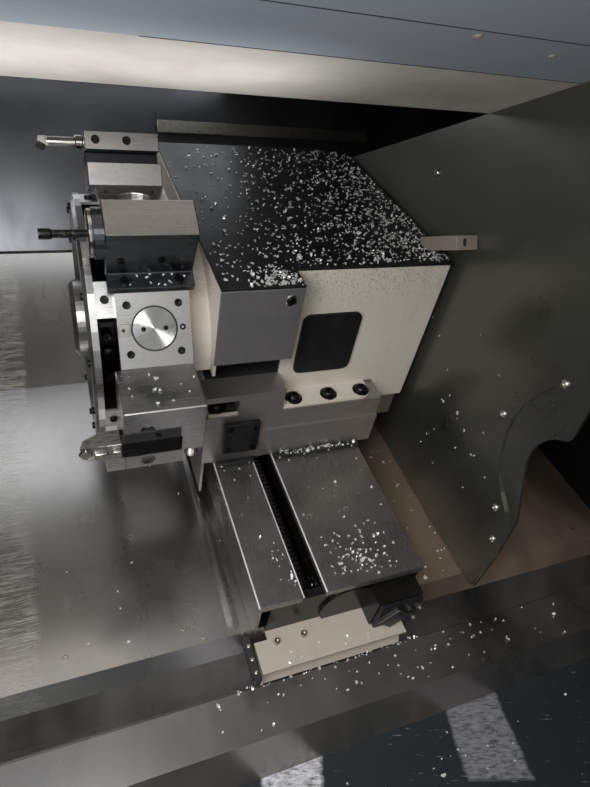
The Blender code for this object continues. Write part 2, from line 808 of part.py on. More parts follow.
def make_saddle(slant, machine, cream, steel, bright, black):
    apron_out = level(SHELF_FRONT, SHELF_TOP)
    apron_front = apron_out[0] + APRON_BACK
    apron_rear = apron_front + APRON_THICK
    saddle_foot = RAIL_TOP - 0.012

    def slanted(point):
        y, z = point
        return (y * COS + z * SIN, z * COS - y * SIN)

    shelf_under = SHELF_TOP - SHELF_THICK

    def on_underside(y):
        return slanted((y, (shelf_under + y * SIN) / COS))

    leg = [
        (SHELF_FRONT, SHELF_TOP),
        (SHELF_FRONT, shelf_under),
        on_underside(apron_front),
        slanted((apron_front, APRON_BOTTOM)),
        slanted((apron_rear, APRON_BOTTOM)),
        on_underside(apron_rear),
    ]
    web_front = SADDLE_FRONT + PAST
    outline = [(SADDLE_BACK, SADDLE_TOP), (SADDLE_FRONT, SADDLE_TOP), (SADDLE_FRONT, SHELF_TOP)] + leg + [
        (web_front, shelf_under),
        (web_front, saddle_foot),
        (SADDLE_BACK, saddle_foot),
    ]
    body = prism(outline, SADDLE_LEFT, SADDLE_RIGHT)
    ear_back = SADDLE_FRONT - 0.012
    shelf_ear = prism([(ear_back, SHELF_TOP)] + leg + [(ear_back, shelf_under)], WAY_LEFT, SADDLE_LEFT + EMBED)
    lean = math.degrees(math.asin((CAP_W - SHELF_TOP) / END_CAP_R))
    cap = prism(
        arc((CAP_U, CAP_W), END_CAP_R, -lean, 180 + lean, 20),
        SADDLE_FRONT - END_CAP_PROUD, SADDLE_FRONT + EMBED, "xz",
    )
    valve = box((VALVE_LEFT, SADDLE_FRONT - VALVE_PROUD, VALVE_BOTTOM), (VALVE_RIGHT, SADDLE_FRONT + EMBED, VALVE_TOP))
    nut = box(
        (0.190, Z_SCREW_V - CHANNEL_HALF + 0.006, BED_TOP - 0.032),
        (0.260, Z_SCREW_V + CHANNEL_HALF - 0.006, saddle_foot + 0.01),
    )
    notch = box((SHELF_RIGHT, -0.60, -0.40), (SADDLE_RIGHT + 0.01, SADDLE_FRONT - 0.0002, SHELF_TOP + 0.0018))
    groove_floor = SADDLE_TOP - GROOVE_DEPTH
    groove = box((GROOVE_LEFT, SADDLE_FRONT + 0.012, groove_floor), (GROOVE_RIGHT, SADDLE_BACK + 0.01, SADDLE_TOP + 0.01))
    rail_slots = merged([
        box((SADDLE_LEFT - 0.01, v - RAIL_HALF - FIT, BED_TOP), (SADDLE_RIGHT + 0.01, v + RAIL_HALF + FIT, RAIL_TOP + FIT))
        for v in (RAIL_FRONT_V, RAIL_REAR_V)
    ])
    bore = disc(Z_SCREW_R + 0.0005, SADDLE_LEFT - 0.01, SADDLE_RIGHT + 0.01, (Z_SCREW_V, BED_TOP), 24)
    solid(
        "saddle_casting", cream, slant, body, [shelf_ear, cap, valve, nut],
        [notch, groove, rail_slots, bore],
    )

    top = SADDLE_TOP + WAY_PLATE
    for name, left, right in (
        ("saddle_plate_left", WAY_LEFT, GROOVE_LEFT),
        ("saddle_plate_right", GROOVE_RIGHT, SADDLE_RIGHT),
    ):
        plate = box((left, SADDLE_FRONT - 0.004, SADDLE_TOP + FIT), (right, WAY_BACK, top))
        lips = []
        if left == WAY_LEFT:
            lip_low = (left, SADDLE_FRONT - 0.004, COVER_W + SIDE_LIP_CLEAR)
            lips = [box(lip_low, (left + SIDE_LIP, COVER_REAR - PAST, SADDLE_TOP + EMBED))]
        solid(name, steel, slant, plate, lips, bevel=0.0012)

    path = cover_path()
    outline = sheet_outline(path, 0.0, -SHEET)
    solid("left_way_cover", bright, machine, prism(outline, LEFT_COVER_EDGE, SADDLE_LEFT - FIT))
    solid("right_way_cover", steel, machine, prism(outline, SADDLE_RIGHT + FIT, RIGHT_COVER_EDGE))

    groove_middle = (GROOVE_LEFT + GROOVE_RIGHT) / 2
    screw = disc(X_SCREW_R, SADDLE_FRONT + 0.012 + FIT, SADDLE_BACK, (groove_middle, X_SCREW_W), 24, "xz")
    screw_axis = make_empty("x_screw_axis", (0.0, 0.0, 0.0), parent=slant)
    solid("x_screw", steel, screw_axis, screw, smooth=True)
    servo = box(
        (groove_middle - SERVO_HALF, SADDLE_BACK + FIT, X_SCREW_W - SERVO_HALF),
        (groove_middle + SERVO_HALF, SADDLE_BACK + SERVO_LENGTH, X_SCREW_W + SERVO_HALF),
    )
    solid("x_motor", black, slant, servo, bevel=0.006)

    screw = disc(Z_SCREW_R, Z_SCREW_LEFT, BED_RIGHT, (Z_SCREW_V, BED_TOP), 24)
    solid("z_screw", steel, slant, screw, smooth=True)
    servo = box(
        (BED_RIGHT + FIT, Z_SCREW_V - SERVO_HALF, BED_TOP - SERVO_HALF),
        (BED_RIGHT + SERVO_LENGTH, Z_SCREW_V + SERVO_HALF, BED_TOP + SERVO_HALF),
    )
    solid("z_motor", black, slant, servo, bevel=0.006)


def make_bed(machine, slant, casting, steel):
    nose_y = SILL_FRONT_Y + SHEET + 0.001
    sill_under = SHEET / COS + 0.001
    top_front = level(BED_FRONT_V, BED_TOP)
    slope = (SILL_TOP_Z - sill_under) - (SILL_TOP_Y - nose_y) * math.tan(SLOPE)
    outline = [
        top_front,
        level(BED_BACK_V, BED_TOP),
        (level(BED_BACK_V, BED_TOP)[0], BED_BASE_Z),
        (PLINTH_FRONT, BED_BASE_Z),
        (PLINTH_FRONT, PLINTH_TOP),
        (nose_y, PLINTH_TOP),
        (nose_y, slope),
        (GUTTER_Y + SHEET + 0.001, GUTTER_Z - SHEET - 0.001),
        (top_front[0], GUTTER_Z - SHEET - 0.001),
    ]
    pads = []
    back = level(BED_BACK_V, BED_TOP)[0]
    for u in (BED_LEFT + 0.10, (BED_LEFT + BED_RIGHT) / 2, BED_RIGHT - 0.10):
        for y in (PLINTH_FRONT + 0.08, back - 0.08):
            pads.append(disc(FOOT_R, -TURRET_HEIGHT, BED_BASE_Z + 0.01, (u, y), 16, "xy"))
    channel = box(
        (Z_SCREW_LEFT - FIT, Z_SCREW_V - CHANNEL_HALF, CHANNEL_FLOOR),
        (BED_RIGHT + 0.01, Z_SCREW_V + CHANNEL_HALF, BED_TOP + 0.05),
    )
    solid(
        "bed_casting", casting, machine, prism(outline, BED_LEFT, BED_RIGHT), [merged(pads)],
        [tilted(channel)],
    )
    foot = BED_TOP + FIT
    waist = RAIL_HALF * 0.72
    height = RAIL_TOP - foot
    for name, v in (("z_rail_front", RAIL_FRONT_V), ("z_rail_rear", RAIL_REAR_V)):
        half = [
            (RAIL_HALF, foot),
            (RAIL_HALF, foot + height * 0.35),
            (waist, foot + height * 0.5),
            (waist, foot + height * 0.65),
            (RAIL_HALF, foot + height * 0.8),
            (RAIL_HALF, RAIL_TOP),
        ]
        outline = [(v + a, b) for a, b in half] + [(v - a, b) for a, b in half[::-1]]
        solid(name, steel, slant, prism(outline, Z_SCREW_LEFT, BED_RIGHT - 0.010))


def belt_outline(first, first_r, second, second_r, steps=16):
    """The loop round two pulleys: an arc on each, joined by their outer tangents.

    Each arc is drawn a little large, so that its flats clear the pulley.
    """
    first_r /= math.cos(math.pi / steps / 1.7)
    second_r /= math.cos(math.pi / steps / 1.7)
    way = Vector(second) - Vector(first)
    heading = math.degrees(math.atan2(way.y, way.x))
    lean = math.degrees(math.asin((first_r - second_r) / way.length))
    near = arc(first, first_r, heading + 90 - lean, heading + 270 + lean, steps)
    far = arc(second, second_r, heading - 90 + lean, heading + 90 - lean, steps)
    return near + far


def make_spindle_line(slant, machine, cast, steel, chuck_steel, black, aluminium, rubber):
    foot = BED_TOP + FIT
    outline = [(-0.035, foot), (SPINDLE_V + 0.010, foot)]
    outline += arc((SPINDLE_V, 0.0), HEAD_ROUND, 200, 20, 12)
    solid(
        "headstock_casting", cast, slant, prism(outline, HEAD_LEFT, HEAD_RIGHT),
        cut=[disc(SPINDLE_R + 0.0005, HEAD_LEFT - 0.01, HEAD_RIGHT + 0.01, (SPINDLE_V, 0.0), 40)],
    )
    spindle = make_empty("spindle_axis", (0.0, SPINDLE_V, 0.0), parent=slant)
    shaft = [
        (SPINDLE_BORE, SPINDLE_TAIL),
        (TAIL_R, SPINDLE_TAIL),
        (TAIL_R, HEAD_LEFT - 0.012),
        (SPINDLE_R, HEAD_LEFT - 0.012),
        (SPINDLE_R, HEAD_RIGHT + FIT),
        (NOSE_R, HEAD_RIGHT + FIT),
        (NOSE_R, NOSE),
        (SPINDLE_BORE, NOSE),
    ]
    solid("spindle_shaft", steel, spindle, turned(shaft, segments=40), smooth=True)
    pulley_right = PULLEY_LEFT + PULLEY_WIDTH
    ring = [
        (TAIL_R + FIT, PULLEY_LEFT),
        (SPINDLE_PULLEY_R, PULLEY_LEFT),
        (SPINDLE_PULLEY_R, pulley_right),
        (TAIL_R + FIT, pulley_right),
    ]
    solid("spindle_pulley", aluminium, spindle, turned(ring, segments=40), smooth=True)

    body = [
        (CHUCK_BORE, NOSE + FIT),
        (CHUCK_R - 0.004, NOSE + FIT),
        (CHUCK_R, NOSE + FIT + 0.004),
        (CHUCK_R, CHUCK_FACE - 0.003),
        (CHUCK_R - 0.003, CHUCK_FACE),
        (CHUCK_BORE, CHUCK_FACE),
    ]
    slot_half = JAW_HALF + FIT
    slots = []
    for i in range(JAWS):
        turn = Matrix.Rotation(2 * math.pi * i / JAWS, 4, "X")
        low = (CHUCK_FACE - JAW_DEPTH, -slot_half, JAW_INNER - JAW_STROKE - 0.0005)
        slots.append(moved(box(low, (CHUCK_FACE + 0.01, slot_half, CHUCK_R + 0.01)), turn))
    solid("chuck_body", chuck_steel, spindle, turned(body, segments=48), cut=slots, smooth=True)
    for i in range(JAWS):
        foot_u = CHUCK_FACE - JAW_DEPTH + FIT
        tip = CHUCK_FACE + JAW_STICKOUT
        step = (JAW_OUTER - JAW_INNER) / 3
        outline = [
            (foot_u, JAW_INNER),
            (foot_u, JAW_OUTER),
            (CHUCK_FACE + 0.4 * JAW_STICKOUT, JAW_OUTER),
            (CHUCK_FACE + 0.4 * JAW_STICKOUT, JAW_OUTER - step),
            (CHUCK_FACE + 0.7 * JAW_STICKOUT, JAW_OUTER - step),
            (CHUCK_FACE + 0.7 * JAW_STICKOUT, JAW_OUTER - 2 * step),
            (tip, JAW_OUTER - 2 * step),
            (tip, JAW_INNER),
        ]
        turn = Matrix.Rotation(2 * math.pi * i / JAWS, 4, "X")
        jaw = moved(prism(outline, -JAW_HALF, JAW_HALF, "xz"), turn)
        solid(f"chuck_jaw_{i + 1}", steel, spindle, jaw)

    motor_w = BED_TOP + FIT + MOTOR_HALF
    motor_centre = (MOTOR_V, motor_w)
    case = disc(MOTOR_HALF / math.cos(math.pi / 8), MOTOR_LEFT, MOTOR_RIGHT, segments=8)
    moved(case, Matrix.Translation((0.0, *motor_centre)) @ Matrix.Rotation(math.pi / 8, 4, "X"))
    solid("spindle_motor", black, slant, case)
    motor_axis = make_empty("motor_axis", (0.0, *motor_centre), parent=slant)
    pulley = [
        (0.0, PULLEY_LEFT),
        (MOTOR_PULLEY_R, PULLEY_LEFT),
        (MOTOR_PULLEY_R, pulley_right),
        (MOTOR_SHAFT_R, pulley_right),
        (MOTOR_SHAFT_R, MOTOR_LEFT - FIT),
        (0.0, MOTOR_LEFT - FIT),
    ]
    solid("motor_pulley", aluminium, motor_axis, turned(pulley, segments=40), smooth=True)
    spindle_point = (SPINDLE_V, 0.0)
    outer = belt_outline(spindle_point, SPINDLE_PULLEY_R + BELT, motor_centre, MOTOR_PULLEY_R + BELT)
    inner = belt_outline(spindle_point, SPINDLE_PULLEY_R + 0.0006, motor_centre, MOTOR_PULLEY_R + 0.0006)
    loop = prism(outer, PULLEY_LEFT + 0.002, pulley_right - 0.002)
    solid("drive_belt", rubber, slant, loop, cut=[prism(inner, PULLEY_LEFT, pulley_right)])


def make_work_area(machine, bright, steel, cream, black, lamp_paint):
    path = cover_path()
    near = FIXED_COVER_GAP
    far = near + SHEET
    lip_outline = sheet_outline(path, far, near)
    wiper = prism(sheet_outline(path, far, 0.0008), FIXED_COVER_EDGE - SHEET, FIXED_COVER_EDGE)
    cover = prism(lip_outline, HEAD_RIGHT + FIT, FIXED_COVER_EDGE)
    solid("fixed_left_cover", bright, machine, cover, [wiper])

    over = offset_path(path, far + FIT)
    centre = level(SPINDLE_V, 0.0)
    front = FRONT_PLANE + PANEL + 0.001
    pan_top = PAN_Z + SHEET + FIT
    guard = [
        (front, PAN_Z + PAN_LIP + 3 * FIT),
        (front + 0.008, PAN_Z + PAN_LIP + 3 * FIT),
        (front + 0.020, pan_top),
        (SILL_FRONT_Y - 0.0035, pan_top),
        (SILL_FRONT_Y - 0.0035, SILL_TOP_Z - (SILL_TOP_Y - SILL_FRONT_Y) * math.tan(SLOPE) + 0.004),
        (SILL_TOP_Y - 0.002, SILL_TOP_Z + 0.004),
        (over[1][0] - 0.002, SILL_TOP_Z + 0.008),
        (over[1][0], over[1][1]),
        over[2],
        over[3],
        (REAR_WALL_Y - FIT, over[3][1]),
        (REAR_WALL_Y - FIT, CANOPY_Z - FIT),
        (front, CANOPY_Z - FIT),
    ]
    solid(
        "chuck_guard", steel, machine, prism(guard, GUARD_U, GUARD_U + SHEET + 0.001),
        cut=[disc(GUARD_HOLE, GUARD_U - 0.01, GUARD_U + 0.02, centre, 40)],
    )

    foot = offset_path(path, WALL_OVER_COVER)
    rear = [foot[2], foot[3], (REAR_WALL_Y - FIT, foot[3][1]), (REAR_WALL_Y - FIT, CANOPY_Z - FIT)]
    centre = (ARC_Y, ARC_Z)
    edge = arc(centre, ARC_R, -30, 90, 10)
    heel = (centre[0] + ARC_R * math.cos(SLOPE), ARC_Z - ARC_R * math.sin(SLOPE) - ARC_DROP)
    outline = [level(COVER_FRONT - WALL_LAP, COVER_W + WALL_OVER_COVER), (heel[0] + ARC_TOE, heel[1] - ARC_TOE_DROP), heel]
    outline += edge + [(front, ARC_Z + ARC_R), (front, CANOPY_Z - FIT)] + rear[::-1]
    solid("wall_guard_plate", steel, machine, prism(outline, WALL_U, WALL_U + SHEET))
    centre = (ARC_Y + BEHIND_SHIFT, ARC_Z)
    edge = arc(centre, BEHIND_ARC_R, 0, 90, 6)
    outline = [
        level(COVER_FRONT - WALL_LAP - 0.005, COVER_W + WALL_OVER_COVER),
        (centre[0] + 0.106, ARC_Z - 0.147),
        (centre[0] + 0.077, ARC_Z - 0.087),
        (centre[0] + 0.072, ARC_Z - 0.073),
    ]
    outline += edge + [(centre[0] - 0.008, ARC_Z + 0.071), (centre[0] - 0.050, ARC_Z + 0.160)]
    outline += [(front, ARC_Z + 0.160), (front, CANOPY_Z - FIT)] + rear[::-1]
    behind = WALL_U + SHEET + FIT
    solid("right_wall_panel", steel, machine, prism(outline, behind, behind + SHEET + 0.001))

    canopy = [(front, CANOPY_Z), (CANOPY_REAR, CANOPY_Z), (CANOPY_REAR, ROOF_Z - 0.001)]
    span_left = GUARD_U - 0.040
    span_right = RIGHT_END - PANEL - FIT
    outline = sheet_outline(canopy, 0.0, SHEET)
    solid("ceiling_panel", cream, machine, prism(outline, span_left, span_right))

    wall = box(
        (LEFT_END + PANEL + FIT, REAR_WALL_Y, REAR_WALL_BOTTOM), (span_right, REAR_WALL_Y + SHEET + 0.001, ROOF_Z)
    )
    strip = box(
        (0.120, REAR_WALL_Y - RAIL_STRIP_PROUD, RAIL_STRIP_Z),
        (0.560, REAR_WALL_Y + 0.002, RAIL_STRIP_Z + RAIL_STRIP_HEIGHT),
    )
    solid("rear_wall", steel, machine, wall, [strip])

    sill_drop = (SILL_TOP_Y - SILL_FRONT_Y) * math.tan(SLOPE)
    sill = [
        (STRIP_TOP_Y, STRIP_TOP_Z),
        (GUTTER_Y, GUTTER_Z),
        (GUTTER_Y - 0.008, GUTTER_Z),
        (SILL_TOP_Y, SILL_TOP_Z),
        (SILL_FRONT_Y, SILL_TOP_Z - sill_drop),
        (SILL_FRONT_Y, PAN_Z + SHEET + FIT),
    ]
    outline = sheet_outline(sill, 0.0, SHEET)
    solid("front_sill", steel, machine, prism(outline, HEAD_RIGHT + FIT, span_right))

    pan = [
        (front + 0.001, PAN_Z + PAN_LIP),
        (front + 0.012, PAN_Z),
        (SILL_FRONT_Y + SHEET, PAN_Z),
    ]
    outline = sheet_outline(pan, 0.0, SHEET)
    solid("chip_pan", black, machine, prism(outline, HEAD_RIGHT + FIT, span_right))

    lamp_top = CANOPY_Z - FIT
    half_round = [(LAMP_Y + LAMP_R, lamp_top)]
    half_round += arc((LAMP_Y, lamp_top - 0.012), LAMP_R, 0, -180, 10)
    half_round += [(LAMP_Y - LAMP_R, lamp_top)]
    solid("work_lamp", lamp_paint, machine, prism(half_round, LAMP_U, LAMP_U + LAMP_LENGTH), smooth=True)


def make_enclosure(machine, cream, grey, glass):
    back = FRONT_PLANE + PANEL
    top = OPENING_TOP
    low = OPENING_BOTTOM

    def panel(name, first, second, joined=(), cut=(), material=cream, bevel=0.002):
        solid(name, material, machine, box(first, second), joined, cut, bevel=bevel)

    track = box(
        (LEFT_END + 0.002, FRONT_PLANE - DOOR_GAP - TRACK, low - TRACK_DROP - TRACK),
        (OPENING_RIGHT + 0.060, FRONT_PLANE + 0.002, low - TRACK_DROP),
    )
    panel(
        "front_apron", (LEFT_END, FRONT_PLANE, SKIRT_BOTTOM), (RIGHT_END, back, low), [track], material=grey
    )
    panel("front_left_panel", (LEFT_END, FRONT_PLANE, low + FIT), (OPENING_LEFT, back, top))
    panel("front_right_panel", (OPENING_RIGHT, FRONT_PLANE, low + FIT), (RIGHT_END, back, top))
    track = box(
        (LEFT_END + 0.002, FRONT_PLANE - DOOR_GAP - TRACK, top + TRACK_DROP),
        (OPENING_RIGHT + 0.060, FRONT_PLANE + 0.002, top + TRACK_DROP + TRACK),
    )
    panel("front_header", (LEFT_END, FRONT_PLANE, top + FIT), (RIGHT_END, back, ROOF_Z - FIT), [track])
    hole = disc(BAR_HOLE_R, LEFT_END - 0.01, LEFT_END + PANEL + 0.01, level(SPINDLE_V, 0.0), 32)
    panel(
        "left_side_panel", (LEFT_END, back + FIT, SKIRT_BOTTOM),
        (LEFT_END + PANEL, BACK_PLANE - PANEL - FIT, ROOF_Z - FIT), cut=[hole],
    )
    panel(
        "right_side_panel", (RIGHT_END - PANEL, back + FIT, SKIRT_BOTTOM),
        (RIGHT_END, BACK_PLANE - PANEL - FIT, ROOF_Z - FIT),
    )
    panel(
        "back_panel", (LEFT_END, BACK_PLANE - PANEL, SKIRT_BOTTOM), (RIGHT_END, BACK_PLANE, ROOF_Z - FIT),
    )
    panel("roof_panel", (LEFT_END, FRONT_PLANE, ROOF_Z), (RIGHT_END, BACK_PLANE, ROOF_Z + PANEL))

    tank = box(
        (TANK_LEFT, PLINTH_FRONT + 0.004, PLINTH_TOP + FIT), (BED_RIGHT, SILL_FRONT_Y - 0.004, TANK_TOP)
    )
    solid("coolant_tank", grey, machine, tank, bevel=0.004)

    door_left = OPENING_LEFT - DOOR_OVERLAP - DOOR_STROKE
    door_right = OPENING_RIGHT + DOOR_OVERLAP - DOOR_STROKE
    door_front = FRONT_PLANE - DOOR_GAP - DOOR_THICK
    door_back = FRONT_PLANE - DOOR_GAP
    door_low = low - TRACK_DROP + DOOR_RUN
    door_top = top + TRACK_DROP - DOOR_RUN
    window_low = (door_left + DOOR_FRAME, door_low + DOOR_FRAME + 0.040)
    window_high = (door_right - DOOR_FRAME, door_top - DOOR_FRAME)
    frame = box((door_left, door_front, door_low), (door_right, door_back, door_top))
    window = prism(rounded(window_low, window_high, WINDOW_ROUND), door_front - 0.01, door_back + 0.01, "xz")
    handle_u = door_right - DOOR_FRAME / 2
    handle_y = door_front - HANDLE_REACH
    middle = (door_low + door_top) / 2
    ends = (middle - HANDLE_LENGTH / 2, middle + HANDLE_LENGTH / 2)
    bar = disc(HANDLE_R, ends[0], ends[1], (handle_u, handle_y), 16, "xy")
    posts = [
        disc(HANDLE_R * 0.8, handle_y, door_front + 0.002, (handle_u, z), 12, "xz")
        for z in (ends[0] + 0.025, ends[1] - 0.025)
    ]
    solid("door_frame", cream, machine, frame, [bar] + posts, [window], bevel=0.003)
    inset = 0.0004
    low_corner = tuple(value + inset for value in window_low)
    high_corner = tuple(value - inset for value in window_high)
    outline = rounded(low_corner, high_corner, WINDOW_ROUND)
    pane_front = door_front + 0.012
    solid("door_window", glass, machine, prism(outline, pane_front, pane_front + GLASS, "xz"), smooth=True)


def make_operator_panel(machine, paint, screen_glass, red, dial_black, green):
    front = DESK_BACK - DESK_DEPTH
    hinge = make_empty("panel_hinge", (DESK_RIGHT, DESK_BACK, 0.0), parent=machine)
    width = DESK_RIGHT - DESK_LEFT
    screen_left = -width + 0.035
    controls_u = -width + 0.335
    stop_z = DESK_BOTTOM + 0.070
    dial_z = DESK_BOTTOM + 0.075
    dial_u = -width + 0.120
    button_u = -width + 0.215
    case = box((-width, -DESK_DEPTH, DESK_BOTTOM), (0.0, 0.0, DESK_TOP))
    mount = box((-MOUNT_WIDTH, -PAST, -MOUNT_HALF), (0.0, DESK_STANDOFF - FIT, MOUNT_HALF))
    screen_hole = box(
        (screen_left - FIT, -DESK_DEPTH - 0.01, SCREEN_TOP - SCREEN_HEIGHT - FIT),
        (screen_left + SCREEN_WIDTH + FIT, -DESK_DEPTH + 0.006, SCREEN_TOP + FIT),
    )
    wells = [
        disc(STEM_R + FIT, -DESK_DEPTH - 0.01, -DESK_DEPTH + 0.020, (u, z), 16, "xz")
        for u, z in ((controls_u, stop_z), (button_u, stop_z))
    ]
    solid(
        "operator_panel", paint, hinge, case, [mount], [screen_hole, merged(wells)], bevel=0.003
    )
    pane = box(
        (screen_left, -DESK_DEPTH + 0.001, SCREEN_TOP - SCREEN_HEIGHT),
        (screen_left + SCREEN_WIDTH, -DESK_DEPTH + 0.006 - FIT, SCREEN_TOP),
    )
    solid("panel_screen", screen_glass, hinge, pane)
    stop_axis = make_empty("stop_axis", (controls_u, -DESK_DEPTH, stop_z), parent=hinge)
    stem_in = 0.020 - STOP_TRAVEL - 0.001
    mushroom = [
        (0.0, -STOP_PROUD),
        (STOP_R * 0.7, -STOP_PROUD),
        (STOP_R, -0.028),
        (STOP_R, -0.018),
        (STEM_R, -0.012),
        (STEM_R, stem_in),
        (0.0, stem_in),
    ]
    solid("emergency_stop", red, stop_axis, turned(mushroom, segments=24, plane="xz"), smooth=True)
    button_axis = make_empty("button_axis", (button_u, -DESK_DEPTH, stop_z), parent=hinge)
    button = [
        (0.0, -0.012),
        (BUTTON_R, -0.012),
        (BUTTON_R, -0.005),
        (STEM_R, -0.005),
        (STEM_R, stem_in),
        (0.0, stem_in),
    ]
    solid("start_button", green, button_axis, turned(button, segments=24, plane="xz"), smooth=True)
    dial_axis = make_empty("dial_axis", (dial_u, -DESK_DEPTH, dial_z), parent=hinge)
    knob = [
        (0.0, -0.022),
        (DIAL_R * 0.75, -0.022),
        (DIAL_R * 0.85, -0.006),
        (DIAL_R, -0.004),
        (DIAL_R, -FIT),
        (0.0, -FIT),
    ]
    pointer = box((-0.002, -0.024, 0.004), (0.002, -0.010, DIAL_R * 0.80))
    solid("feed_dial", dial_black, dial_axis, turned(knob, segments=24, plane="xz"), [pointer], smooth=True)


def main():
    clear_scene()
    cream = make_material("cream enamel", (0.62, 0.57, 0.49), 0.45, 0.0)
    grey = make_material("grey enamel", (0.12, 0.13, 0.14), 0.5, 0.0)
    black = make_material("black sheet", (0.015, 0.016, 0.018), 0.4, 0.0)
    steel = make_material("brushed steel sheet", (0.22, 0.21, 0.19), 0.35, 1.0)
    bright = make_material("bright steel", (0.55, 0.54, 0.52), 0.28, 1.0)
    turret_steel = make_material("ground steel", (0.42, 0.42, 0.42), 0.3, 1.0)
    dark_steel = make_material("oiled steel", (0.18, 0.18, 0.18), 0.35, 1.0)
    cast = make_material("painted casting", (0.30, 0.30, 0.29), 0.6, 0.0)
    aluminium = make_material("turned aluminium", (0.6, 0.6, 0.6), 0.35, 1.0)
    rubber = make_material("belt rubber", (0.02, 0.02, 0.02), 0.8, 0.0)
    lamp_paint = make_material("lamp diffuser", (0.9, 0.9, 0.88), 0.3, 0.0)
    glass = make_material("laminated glass", (0.75, 0.8, 0.8), 0.05, 0.0)
    screen_glass = make_material("display glass", (0.01, 0.015, 0.02), 0.1, 0.0)
    red = make_material("red plastic", (0.6, 0.02, 0.02), 0.35, 0.0)
    green = make_material("green plastic", (0.03, 0.35, 0.08), 0.35, 0.0)

    centre = (TURRET_X, TURRET_Y, TURRET_HEIGHT)
    machine = make_empty("machine_axis", centre)
    slant = make_empty("slant_axis", centre, SLOPE)
    turret = make_empty("turret_axis", (0.0, 0.0, 0.0), parent=slant)

    make_bed(machine, slant, cast, steel)
    make_saddle(slant, machine, cream, steel, bright, black)
    make_housing(slant, cream, black, bright, dark_steel)
    make_turret(turret, turret_steel, bright)
    make_turning_holder(turret, turret_steel, bright)
    make_boring_holders(turret, turret_steel, bright)
    make_spindle_line(slant, machine, cast, steel, bright, black, aluminium, rubber)
    make_work_area(machine, bright, steel, cream, black, lamp_paint)
    make_enclosure(machine, cream, grey, glass)
    make_operator_panel(machine, grey, screen_glass, red, black, green)


main()
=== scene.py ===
"""Dressing, finishes, swarf and a plain studio for a slant-bed turning lathe.

Lengths are in metres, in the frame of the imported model: +X along the spindle towards the turret housing,
+Y through the machine, +Z up. Positions are given round the turret axis, as level(x, y, z) or, square to the
bed's slope, as slope(u, v, w).
"""

import bpy
import numpy as np
from mathutils import Matrix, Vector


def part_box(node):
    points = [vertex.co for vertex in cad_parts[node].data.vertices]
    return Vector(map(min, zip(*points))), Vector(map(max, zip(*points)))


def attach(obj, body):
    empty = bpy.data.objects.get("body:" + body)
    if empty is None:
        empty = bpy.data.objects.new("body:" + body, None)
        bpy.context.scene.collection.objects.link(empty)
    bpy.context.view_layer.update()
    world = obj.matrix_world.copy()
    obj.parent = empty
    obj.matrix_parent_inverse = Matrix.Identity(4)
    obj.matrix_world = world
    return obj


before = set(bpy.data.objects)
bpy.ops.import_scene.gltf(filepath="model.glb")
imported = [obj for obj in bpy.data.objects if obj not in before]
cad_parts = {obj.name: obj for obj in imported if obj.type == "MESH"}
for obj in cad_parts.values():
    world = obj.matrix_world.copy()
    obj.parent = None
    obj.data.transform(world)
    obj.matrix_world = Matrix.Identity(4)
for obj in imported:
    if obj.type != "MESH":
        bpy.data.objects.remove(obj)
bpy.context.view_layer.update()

bl_info = {
    "name": "Turning lathe dressing",
    "version": (1, 0, 0),
    "blender": (4, 5, 0),
    "location": "View3D > Sidebar > Lathe",
    "description": "Surface detail, finishes, swarf and a studio for a slant-bed turning lathe",
    "category": "Object",
}

MM = 0.001

# Where the turret axis and the bed's slope are
CENTRE = np.array([0.265, 0.2, 1.2])
TILT = np.radians(30.0)
ALONG = np.array([1.0, 0.0, 0.0])
UPHILL = np.array([0.0, np.cos(TILT), np.sin(TILT)])
OUT = np.array([0.0, -np.sin(TILT), np.cos(TILT)])
UP = np.array([0.0, 0.0, 1.0])
AWAY = np.array([0.0, 1.0, 0.0])

# Stations and faces of the solids that the pieces sit on
FACET_R = 0.178
STATIONS = 12
TOOL_STATIONS = (0.0, 60.0, 120.0)
BORING_TOP = FACET_R + 0.08
TURNING_TOP = FACET_R + 0.078
HIGH_BASE = FACET_R + 0.03
HIGH_NECK = FACET_R + 0.046
RING_FACE = -0.078
SLIDE_FRONT = -0.153
PLATE_TOP = -0.188
COVER_W = -0.269
SHELF_TOP = -0.274
HOUSING_TOP = 0.1403
CEILING_Z = 0.262
WALL_X = 0.459
RAIL_Z, RAIL_WIDTH = 0.342, 0.024

# Boxes, low and high round the turret axis, in which a finish changes. The two castings' are on the slope.
# Inside the cabinet beyond the right wall, the cream is painted near-black as painted shade.
CABINET_INSIDE_SHADE = (0.485, -0.886, -1.3), (0.8485, 0.6185, 0.4885)
# The ceiling in front of its lit band is painted grey-blue as painted shade.
CEILING_FRONT_SHADE = (-0.7, -0.95, 0.25), (0.9, -0.365, 0.5)
SADDLE_MACHINED = (-1.0, -0.4385, -0.2735), (1.0, 1.0, 1.0)
# The housing's recess box is painted dark as painted shade.
HOUSING_RECESS_SHADE = (0.0815, -0.1475, -0.086), (0.1965, -0.05, 0.018)

# Strips of the pan painted pale, partly worn enamel and partly a painted reflection off wet coolant: low, high and
# how pale, in coordinates turned about Z
PAN_TURN = 21.7
PAN_SHEEN_AND_WEAR = (
    ((0.18, -0.46, -0.62), (0.262, -0.178, -0.59), 1.0),
    ((0.459, -0.25, -0.62), (0.546, -0.06, -0.59), 0.32),
    ((-0.42, -0.6, -0.62), (-0.33, -0.33, -0.59), 0.6),
)


def level(x, y, z):
    """A point, or points, given round the turret axis in the level frame."""
    return CENTRE + np.stack(np.broadcast_arrays(x, y, z), -1)


def slope(u, v, w):
    """A point, or points, given round the turret axis along, up and square to the bed's slope."""
    u, v, w = (np.asarray(value, float)[..., None] for value in (u, v, w))
    return CENTRE + u * ALONG + v * UPHILL + w * OUT


def station(angle, u, t, r):
    """A point at a turret station: u along the axis, t across the face, r out from the axis.

    The station's outward direction is -cos(angle) uphill plus sin(angle) out of the slope.
    """
    out, across = station_axes(angle)
    return CENTRE + u * ALONG + t * across + r * out


